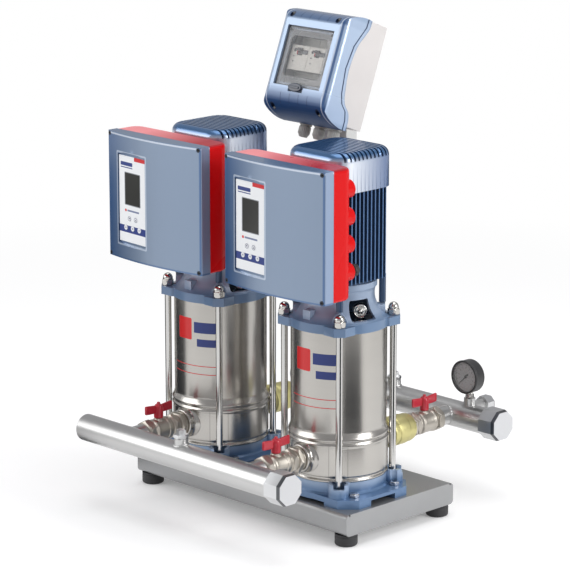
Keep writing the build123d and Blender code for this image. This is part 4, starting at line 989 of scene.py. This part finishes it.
def weldBead(centre, radius, axis, width):
    # a rippled ring where a branch meets the pipe: the ring's middle lies on both cylinders,
    # so it stands sqrt(pipe radius squared - across squared) off the pipe's axis
    turn = np.linspace(0, 2 * pi, 96, endpoint=False)
    around = np.linspace(0, 2 * pi, 10, endpoint=False)
    u, v = np.meshgrid(turn, around, indexing="ij")
    swell = width * (1 + 0.12 * np.cos(30 * u))
    ring = radius + 0.3 + swell * np.cos(v)
    pipe = pipeSize["radius"]
    out = np.sqrt(pipe ** 2 - np.minimum(radius * np.sin(u), pipe) ** 2) + 0.2 + swell * np.sin(v)
    x, third = ring * np.cos(u), ring * np.sin(u)
    parts = {"z": [x, third, out], "y": [x, out, third], "-y": [x, -out, third]}[axis]
    return (np.stack(parts, -1) + np.array(centre)) * mm, True, True


def branch(kind, centre, axis, end):
    # a short tube that starts inside the pipe, and the weld round its foot
    b = branches[kind]
    bore, radius, edge = b["bore"], b["radius"], b["edge"]
    profile = [(bore, b["inner"]), (radius, b["outer"]), (radius, end - edge), (radius - edge, end),
               (bore, end), (bore, b["inner"])]
    return [lathe(profile, centre, axis, b["sides"]), weldBead(centre, radius, axis, b["bead"])]


def manifold(node, radius, bore, half, vesselEnd, gaugeX):
    # a pipe open at both ends, with a branch to each pump and a socket for the plug; the delivery
    # pipe also has a branch for a vessel and a socket for the gauge
    y, stubEnd = pipeY[node]
    wall = rounded([(bore, half), (bore, -half + 0.2), (bore + 0.6, -half), (radius - 0.6, -half),
                    (radius, -half + 0.6), (radius, half - 0.5), (bore, half)], 0.4)
    parts = [lathe(wall, (0, y, portZ), "x", 96)]
    for x, _ in pumpSpots:
        parts += branch("port", (x, y, portZ), "y" if stubEnd > y else "-y", abs(stubEnd - y))
    parts += branch("plug", (0, y, portZ), "z", plugTop - portZ)
    if node == "delivery_manifold":
        parts += branch("vessel", (pumpX, y, portZ), "y", vesselEnd - y)
        parts += branch("gauge", (gaugeX, y, portZ), "z", gaugeTop - portZ)
    addPiece(node + "_tube", parts, node)


for node in pipeY:
    manifold(node, **pipeSize)


capSize = dict(big=dict(flats=54.7, length=37.0, depth=19.0, nose=7.0, inset=2.2, bore=24.25),
               small=dict(flats=30.0, length=20.0, depth=10.0, nose=3.0, inset=1.5, bore=10.75),
               bigX=233.0, smallY=342.5, plugFlats=24.0, flange=7.0, headFlats=13.0, head=8.0, shank=8.0)


def octagonCap(centre, axis, flats, length, depth, nose, inset, bore):
    # eight sides carried along the pipe, with a bevelled nose; the rings reach to the corners
    half, end = (across / cos(pi / 8) for across in (flats / 2, flats / 2 - inset))
    body = [(0, depth), (bore, depth), (bore, 0), (half, 0), (half, length - nose), (end, length),
            (0, length)]
    return lathe(body, centre, axis, 8, pi / 8)


def pipeCaps(big, small, bigX, smallY, plugFlats, flange, headFlats, head, shank):
    # a cap on each manifold's right end and on the vessel branch, and a square-headed plug on top
    parts = [octagonCap((bigX, y, portZ), "x", **big) for y, _ in pipeY.values()]
    parts.append(octagonCap((pumpX, smallY, portZ), "y", **small))
    for y, _ in pipeY.values():
        seat = plugTop + flange
        parts += [bar(plugFlats, 6, plugTop, seat, (0, y, 0)),
                  bar(headFlats, 4, seat - 0.5, seat + head, (0, y, 0), turn=0.4),
                  lathe(pin(shank, plugTop - 12, plugTop + 1), (0, y, 0), sides=32)]
    addPiece("pipeCaps", parts, "pipe_caps", angle=20, bevel=0.0007)


pipeCaps(**capSize)


valveSpots = {"suction_left": (-pumpX, -188.5), "suction_right": (pumpX, -188.5),
              "delivery_left": (-pumpX, 185.5), "delivery_right": (pumpX, 185.5)}
valveSize = dict(ballSeat=15.3, half=36.0, body=20.5, thread=18.5, flats=40.0, hexLength=15.0,
                 bore=10.5, neck=8.0, neckTop=21.5, stem=4.05)


def valveBodies(ballSeat, half, body, thread, flats, hexLength, bore, neck, neckTop, stem):
    # a turned barrel with a hexagon at each end and a neck for the stem
    outer = rounded([(bore, -half), (thread - 1.2, -half), (thread, -half + 1), (thread, -24.5),
                     (thread - 1.3, -23.5), (thread - 1.3, -21.5), (body, -18.5), (body, -11),
                     (body - 0.8, -10), (body - 0.8, 11), (body, 12), (body, 15.5), (thread, 19),
                     (thread, half - 0.6), (thread - 0.6, half), (bore, half)], 0.9)
    # the ball's seat is a round chamber: its radius is sqrt(seat squared - along squared)
    along = np.linspace(1, -1, 15) * sqrt(ballSeat ** 2 - bore ** 2)
    chamber = np.stack([np.sqrt(ballSeat ** 2 - along ** 2), along], 1)
    barrel = np.concatenate([outer, chamber, [(bore, -half)]])
    collar = rounded([(stem, 16), (neck + 3.5, 17), (neck + 0.6, 20.2), (neck, neckTop - 0.6),
                      (neck - 0.6, neckTop), (stem, neckTop), (stem, 16)], 0.8)
    parts = []
    for x, y in valveSpots.values():
        spot = (x, y, portZ)
        axis, turn = ("y", 0.0) if y > 0 else ("-y", pi / 6)
        parts.append(lathe(barrel, spot, axis, 80))
        for low, high in ((half - hexLength, half - 0.5), (0.3 - half, 0.7 * hexLength - half)):
            parts.append(bar(flats, 6, low, high, spot, axis, turn, bore))
        parts.append(lathe(collar, spot, "z", 40))
    addPiece("valveBodies", parts, "valve_bodies", angle=40)


valveBodies(**valveSize)


unionSize = dict(flats=42.0, bore=10.5, start=99.0, length=18.0, linkStart=177.0, linkLength=8.0)


def unionNuts(flats, bore, start, length, linkStart, linkLength):
    # a hex nut between two turned rims at each pump port, and a short hex link behind each check valve
    rim, end = flats / 2 - 0.4, start + length
    ring = rounded([(bore, start), (rim - 1, start), (rim, start + 0.8), (rim, start + 3),
                    (rim - 2.2, start + 4), (rim - 2.2, end - 3.4), (rim - 1.4, end - 2.4),
                    (rim - 1.4, end), (bore, end), (bore, start)], 0.6)
    parts = []
    for px, py in pumpSpots:
        spot = (px, py, portZ)
        for axis in ("y", "-y"):
            parts += [lathe(ring, spot, axis, 64),
                      bar(flats, 6, start + 4.4, end - 3.6, spot, axis, bore=bore)]
        parts.append(bar(flats, 6, linkStart, linkStart + linkLength, spot, "y", bore=bore))
    addPiece("unionNuts", parts, "union_nuts", angle=40)


unionNuts(**unionSize)


checkSize = dict(start=117.0, length=60.0, radius=27.0, bore=10.5, chamber=20.0, seat=12.0,
                 chamberEnd=165.0, rib=(2.7, 20.3), ribLength=5.0, ribHalf=4.5)


def checkValves(start, length, radius, bore, chamber, seat, chamberEnd, rib, ribLength, ribHalf):
    # turned body with a raised band at each end and two shallow grooves, open through its middle,
    # and two ribs in the chamber that guide the poppet
    s, e, r = start, start + length, radius
    outer = rounded([
        (bore, s), (r - 3.5, s), (r - 2.2, s + 1.2), (r - 2.2, s + 3), (r - 0.2, s + 4.2), (r, s + 6),
        (r, s + 15), (r - 0.9, s + 16), (r - 0.9, s + 17), (r, s + 18), (r, e - 19), (r - 1.2, e - 17.5),
        (r - 1.2, e - 6), (r - 2.4, e - 4.8), (r - 2.4, e - 1.2), (r - 3.4, e), (bore, e),
        (bore, chamberEnd), (chamber, chamberEnd), (chamber, s + seat), (bore, s + seat), (bore, s)], 0.8)
    parts = []
    for px, py in pumpSpots:
        parts.append(lathe(outer, (px, py, portZ), "y", 96))
        for side in (-1, 1):
            parts.append(block(sorted(side * edge for edge in rib), (chamberEnd - ribLength, chamberEnd),
                               (-ribHalf, ribHalf), (px, py, portZ)))
    addPiece("checkValves", parts, "check_valve_bodies", angle=40)


checkValves(**checkSize)


handleSize = dict(hub=8.5, low=22.0, height=25.0, knob=3.0, knobHeight=4.0, half=32.0, root=3.0, tip=3.0,
                  thick=4.5, wingLow=9.0, rootTop=21.0, tipTop=26.0, stem=4.0, ball=15.0, bore=10.5)


def squareish(share):
    # the sign of the share times its size to the power 0.45, which squares off a circle
    return np.sign(share) * np.abs(share) ** 0.45


def valveHandle(valve, hub, low, height, knob, knobHeight, half, root, tip, thick, wingLow, rootTop,
                tipTop, stem, ball, bore):
    # a butterfly: each wing is a rounded bar whose upper edge climbs with the square root of the
    # way out and whose lower edge lifts a little at the tip; the hub, the stem and the bored ball
    # are turned
    x, y = valveSpots[valve]
    spot, top = (x, y, portZ), low + height
    turned = rounded([
        (stem, low), (hub - 0.8, low), (hub, low + 1), (hub, low + 18), (hub - 1.2, top - 2.4),
        (hub - 3.6, top), (knob + 0.6, top), (knob, top + 1.2), (knob, top + 3.0),
        (knob - 1, top + knobHeight), (0, top + knobHeight)], 1.0)
    parts = [lathe(np.concatenate([[(0, low)], turned]), spot, "z", 40)]
    out = np.concatenate([np.linspace(root, half - tip, 14),
                          half - tip + tip * np.sin(np.linspace(0.2, pi / 2, 6))])[:, None]
    around = np.linspace(0, 2 * pi, 28, endpoint=False)
    share = out / half
    lower = low + wingLow + 1.2 * share ** 3
    upper = low + rootTop + (tipTop - rootTop) * np.sqrt(share)
    full = np.sqrt(np.clip(1 - (np.clip(out - (half - tip), 0, tip) / tip) ** 2, 0, 1))
    side = squareish(np.sin(around)) * thick / 2 * (0.35 + 0.65 * full)
    rise = (upper + lower) / 2 + squareish(np.cos(around)) * (upper - lower) / 2 * (0.78 + 0.22 * full)
    for way in (-1, 1):
        wing = np.stack(np.broadcast_arrays(x + side * way, y + way * out, portZ + rise), -1)
        parts.append((closed(wing) * mm, False, True))
    t = np.linspace(-1, 1, 18) * sqrt(1 - (bore / ball) ** 2)
    sphere = np.stack([ball * np.sqrt(1 - t ** 2), ball * t], 1)
    sphere = np.concatenate([sphere, [(bore, sphere[-1, 1]), (bore, sphere[0, 1])]])
    parts.append((lathe(sphere, spot, "y", 48)[0], True, True))
    parts.append(lathe(pin(stem, 12, low + 2), spot, "z", 24))
    addPiece("handle_" + valve + "_grip", parts, "handle_" + valve, angle=40)


for valve in valveSpots:
    valveHandle(valve, **handleSize)


gaugeSize = dict(x=188.0, front=247.5, z=214.8, floor=7.0)
gaugeCaseSize = dict(radius=31.0, depth=28.0, rim=4.0, seat=1.5, stemY=265.5, stem=6.0, stemFlats=14.0)


def gaugeCase(x, front, z, floor, radius, depth, rim, seat, stemY, stem, stemFlats):
    # a turned cup with the dial at its floor, on a stem with a hexagon
    r, d = radius, depth
    profile = rounded([
        (1.1, floor + 6), (1.1, floor), (r - rim, floor), (r - rim, seat + 0.2), (r - rim + 0.8, 0.3),
        (r - 1.6, 0), (r, 1.6), (r, 5.0), (r - 0.9, 6.0), (r - 0.9, d - 4.5), (r - 3.5, d - 1.2),
        (r - 6, d), (0, d)], 0.9)
    spot = (x, stemY, 0)
    parts = [lathe(np.concatenate([[(0, floor + 6)], profile]), (x, front, z), "y", 96),
             bar(stemFlats, 6, gaugeTop, gaugeTop + 7, spot),
             lathe(pin(stem, gaugeTop - 12, z - r + 3), spot, "z", 32)]
    addPiece("gaugeCase", parts, "gauge_case", angle=40)


gaugeCase(**gaugeSize, **gaugeCaseSize)


needleSize = dict(turn=225.0, out=(-8.0, -7.4, -3.0, 4.0, 12.0, 19.4, 20.0),
                  half=(0.5, 1.6, 1.3, 0.95, 0.75, 0.45, 0.2), lift=0.6, thick=1.2, hub=3.0, bore=1.0)


def gaugeNeedle(x, front, z, floor, turn, out, half, lift, thick, hub, bore):
    # a tapering pointer on a round hub, turned clockwise from straight up
    start, end = floor - lift - thick, floor - lift
    across, deep = np.array([-1, 1, 1, -1.0]), np.array([start, start, end, end])
    u, v = np.array(out)[:, None], np.array(half)[:, None] * across
    turn = radians(turn)
    grid = np.stack(np.broadcast_arrays(x + u * sin(turn) + v * cos(turn), front + deep,
                                        z + u * cos(turn) - v * sin(turn)), -1)
    boss = [(0, start - 0.2), (hub - 0.4, start), (hub, start + 0.4), (hub, end), (bore, end),
            (bore, floor + 5), (0, floor + 5)]
    parts = [(closed(grid) * mm, False, True), lathe(boss, (x, front, z), "y", 32)]
    addPiece("gaugeNeedle", parts, "gauge_needle", angle=40)


gaugeNeedle(**gaugeSize, **needleSize)


latchSize = dict(drop=55.0, length=32.0, width=15.0, seat=4.4, head=5.0, neck=2.5, gripLength=22.0,
                 gripWidth=4.6, camLow=-5.1, camHigh=-3.1, camReach=4.0, camShift=1.5)


def windowLatch(drop, length, width, seat, head, neck, gripLength, gripWidth, camLow, camHigh,
                camReach, camShift):
    # an oval knob on a round neck, with a raised grip bar along its middle and a cam at its foot
    t = np.linspace(0, 2 * pi, 72, endpoint=False)
    oval = np.stack([length / 2 * np.cos(t), width / 2 * np.sin(t)], 1)
    grip = roundedOutline(gripLength / 2, gripWidth / 2, 1.6)
    top, spot = seat + head, (0, -drop, 0)
    parts = [pillow(oval, seat, top - 1.8, 1.4, spot), pillow(grip, seat + 2.0, top, 0.9, spot),
             block((-neck, neck), (camShift - camReach, camShift + camReach), (camLow, camHigh), spot),
             lathe(pin(neck, camLow + 0.5, seat + 0.5), spot, "z", 64)]
    addPiece("latchKnob", [onBox(part) for part in parts], "window_latch", angle=50)


windowLatch(**latchSize)


glandSize = dict(pitch=36.0, low=-99.0, depth=-82.0, flats=22.0, radius=9.0, length=30.0, hollow=5.0,
                 blackSpot=(253.5, -118.5, 485.0), blackLength=20.0)


def cableGlands(pitch, low, depth, flats, radius, length, hollow, blackSpot, blackLength):
    # a hexagon and a ribbed tip with a hollow end; the ribs are a cosine around the tip's radius
    def ribbed(wide, height, angle):
        deep = (height > 9.5) & (height < length - 4.0)
        return wide * (1 + 0.035 * np.cos(20 * angle) * deep)
    tip = rounded([(0, -5.0), (radius - 0.3, -5.0), (radius - 0.3, 9.4), (radius, 9.8),
                   (radius + 1.6, 12.5), (radius + 1.6, 23.0), (radius, 26.0), (radius - 1.6, length),
                   (4.6, length), (4.4, length - hollow), (0, length - hollow)], 0.8)
    parts = []
    for k in (-1, 0, 1):
        spot = (k * pitch, low, depth)
        parts += [onBox(bar(flats, 6, 0.2, 9.0, spot, "-y", turn=0.3 * k, sides=72)),
                  onBox(lathe(tip, spot, "-y", 120, 0.0, ribbed))]
    # the black gland is a shorter copy of the tip that starts at the inverter's side
    short = np.stack([tip[:, 0], np.maximum(tip[:, 1], -0.5) * blackLength / length], 1)
    parts.append(lathe(short, blackSpot, "y", 120, 0.0, ribbed))
    addPiece("cableGlands", parts, "cable_glands", angle=40)


cableGlands(**glandSize)


ventSize = dict(x=45.0, y=6.0, low=362.0, flats=24.0, hexHeight=12.0, eyeHeight=391.0, eye=13.5,
                half=8.0, seat=9.0, seatDepth=4.0, plugFlats=11.0, tip=3.0, post=7.5, turn=45.0)


def ventPlugs(x, y, low, flats, hexHeight, eyeHeight, eye, half, seat, seatDepth, plugFlats, tip, post,
              turn):
    # a hexagon foot under a turned eye that faces the open window, with a small hexagon plug in it
    deep = half - seatDepth
    ring = rounded([(0, -half), (eye - 2.5, -half), (eye, -half + 2.5), (eye, half - 2.5),
                    (eye - 1.6, half - 0.6), (seat + 1.2, half), (seat, half - 1.0), (seat, deep),
                    (0, deep)], 0.9)
    nose = rounded([(0, half - 1), (tip + 1, half - 1), (tip + 1, half + 1.6), (tip - 0.6, half + 3.2),
                    (0, half + 3.6)], 0.8)
    turn = radians(turn)
    newAxes = [(cos(turn), sin(turn), 0), (-sin(turn), cos(turn), 0), (0, 0, 1)]
    zero = (0, 0, 0)
    parts = []
    for px, py in pumpSpots:
        spot = (px + x, py + y, 0)
        parts += [bar(flats, 6, low, low + hexHeight, spot, turn=0.26),
                  lathe(pin(post, low + 5, eyeHeight - 8), spot, sides=40)]
        for part in (lathe(ring, zero, "-y", 64), lathe(nose, zero, "-y", 32),
                     bar(plugFlats, 6, deep - 1, half + 1.0, zero, "-y")):
            parts.append(moved(part, newAxes, (px + x, py + y, eyeHeight)))
    addPiece("ventPlugs", parts, "vent_plugs", angle=40)


ventPlugs(**ventSize)


floorLook = dict(half=30.0, tone=0.86, lift=0.2, fadeStart=500.0, fadeLength=1900.0)


def makeFloor(half, tone, lift, fadeStart, fadeLength):
    # pale floor that keeps the shadow; what the lens, metal and glass see of it is lifted to white
    mesh = bpy.data.meshes.new("studioFloor")
    mesh.from_pydata([(-half, -half, 0), (half, -half, 0), (half, half, 0), (-half, half, 0)],
                     [], [(0, 1, 2, 3)])
    s = Sheet("paleFloor", (tone, tone, tone, 1), 0.7, Specular_IOR_Level=0.0)
    path = s.tree.nodes.new("ShaderNodeLightPath")
    camera, glossy, through = (Wire(s, path.outputs["Is %s Ray" % kind])
                               for kind in ("Camera", "Glossy", "Transmission"))
    seen = s.most(camera, s.most(glossy, through))
    x, y, _ = s.point()
    far = s.clamp((s.reach(x, y) - fadeStart) / fadeLength)
    plain = Wire(s, s.shader.outputs[0])
    glow, white = (s.add("ShaderNodeEmission", None, {"Color": (1, 1, 1, 1), "Strength": strength})
                   for strength in (lift, 1.0))
    lit = s.add("ShaderNodeAddShader", None, {0: plain, 1: glow})
    whitened = s.add("ShaderNodeMixShader", None, {0: far, 1: lit, 2: white})
    shown = s.add("ShaderNodeMixShader", None, {0: seen, 1: plain, 2: whitened})
    s.tree.links.new(shown.socket, s.tree.nodes["Material Output"].inputs["Surface"])
    mesh.materials.append(s.material)
    return bpy.data.objects.new("studioFloor", mesh)


flagLook = dict(colour=(0.03, 0.032, 0.036, 1), height=0.0006, near=(0.42, 0.66, 0.4), far=3.4,
                azimuth=(-166, -14, 100), spread=(26, 20, 24))


def makeFlags(colour, height, near, far, azimuth, spread):
    # dark flags lying on the floor, which only reflections show: they put the bands on the steel;
    # each is the part of a ring from near to far, spread to both sides of its azimuth
    flag = Sheet("darkFlag", colour, 0.9, Specular_IOR_Level=0.0)
    flags = []
    for k, (start, middle, side) in enumerate(zip(near, azimuth, spread)):
        turns = np.radians(middle + np.linspace(-side, side, 12))
        radius = np.array([start, far])[:, None]
        grid = np.stack([radius * np.cos(turns), radius * np.sin(turns), np.full((2, 12), height)], -1)
        mesh = makeMesh("floorFlag%d" % k, [(grid, False, False)])
        mesh.materials.append(flag.material)
        card = bpy.data.objects.new("floorFlag%d" % k, mesh)
        card.visible_camera = False
        card.visible_diffuse = False
        card.visible_shadow = False
        card.visible_transmission = False
        flags.append(card)
    return flags


stagePieces = [makeFloor(**floorLook)] + makeFlags(**flagLook)
for piece in stagePieces:
    bpy.context.scene.collection.objects.link(piece)

skyTone = 0.42
world = bpy.data.worlds.new("studioLight")
bpy.context.scene.world = world
world.use_nodes = True
sky = world.node_tree.nodes["Background"].inputs
sky["Color"].default_value = (skyTone, skyTone, skyTone * 1.03, 1)
sky["Strength"].default_value = 1.0
print("stage made:", len(stagePieces), "pieces")


def aimed(name, data, place, aim):
    # a lamp or camera that looks from one place to another
    piece = bpy.data.objects.new(name, data)
    bpy.context.scene.collection.objects.link(piece)
    piece.location = place
    piece.rotation_mode = "QUATERNION"
    piece.rotation_quaternion = (Vector(aim) - Vector(place)).to_track_quat("-Z", "Y")
    return piece


lampAim = (0, 0, 0.4)
lamps = {  # place, width and height in metres, power in watts
    "frontBox": ((-1.9, -2.6, 1.7), (2.8, 2.3), 54),
    "sideBox": ((2.9, 0.9, 1.5), (1.4, 1.8), 58),
    "topBox": ((0.2, 0.3, 3.2), (2.6, 2.6), 46),
}
for lampName, (place, size, power) in lamps.items():
    lampData = bpy.data.lights.new(lampName, "AREA")
    lampData.shape = "RECTANGLE"
    lampData.size, lampData.size_y = size
    lampData.energy = power
    aimed(lampName, lampData, place, lampAim)
print("lamps made:", len(lamps))

view = dict(place=(3.5223, -3.4853, 1.6108), aim=(0.00815, -0.02716, 0.40254), lens=181.35, sensor=36.0)
cameraData = bpy.data.cameras.new("photoCamera")
cameraData.lens = view["lens"]
cameraData.sensor_width = view["sensor"]
cameraData.clip_start = 0.05
cameraData.clip_end = 200.0
bpy.context.scene.camera = aimed("photoCamera", cameraData, view["place"], view["aim"])
bpy.context.scene.view_settings.view_transform = "Standard"
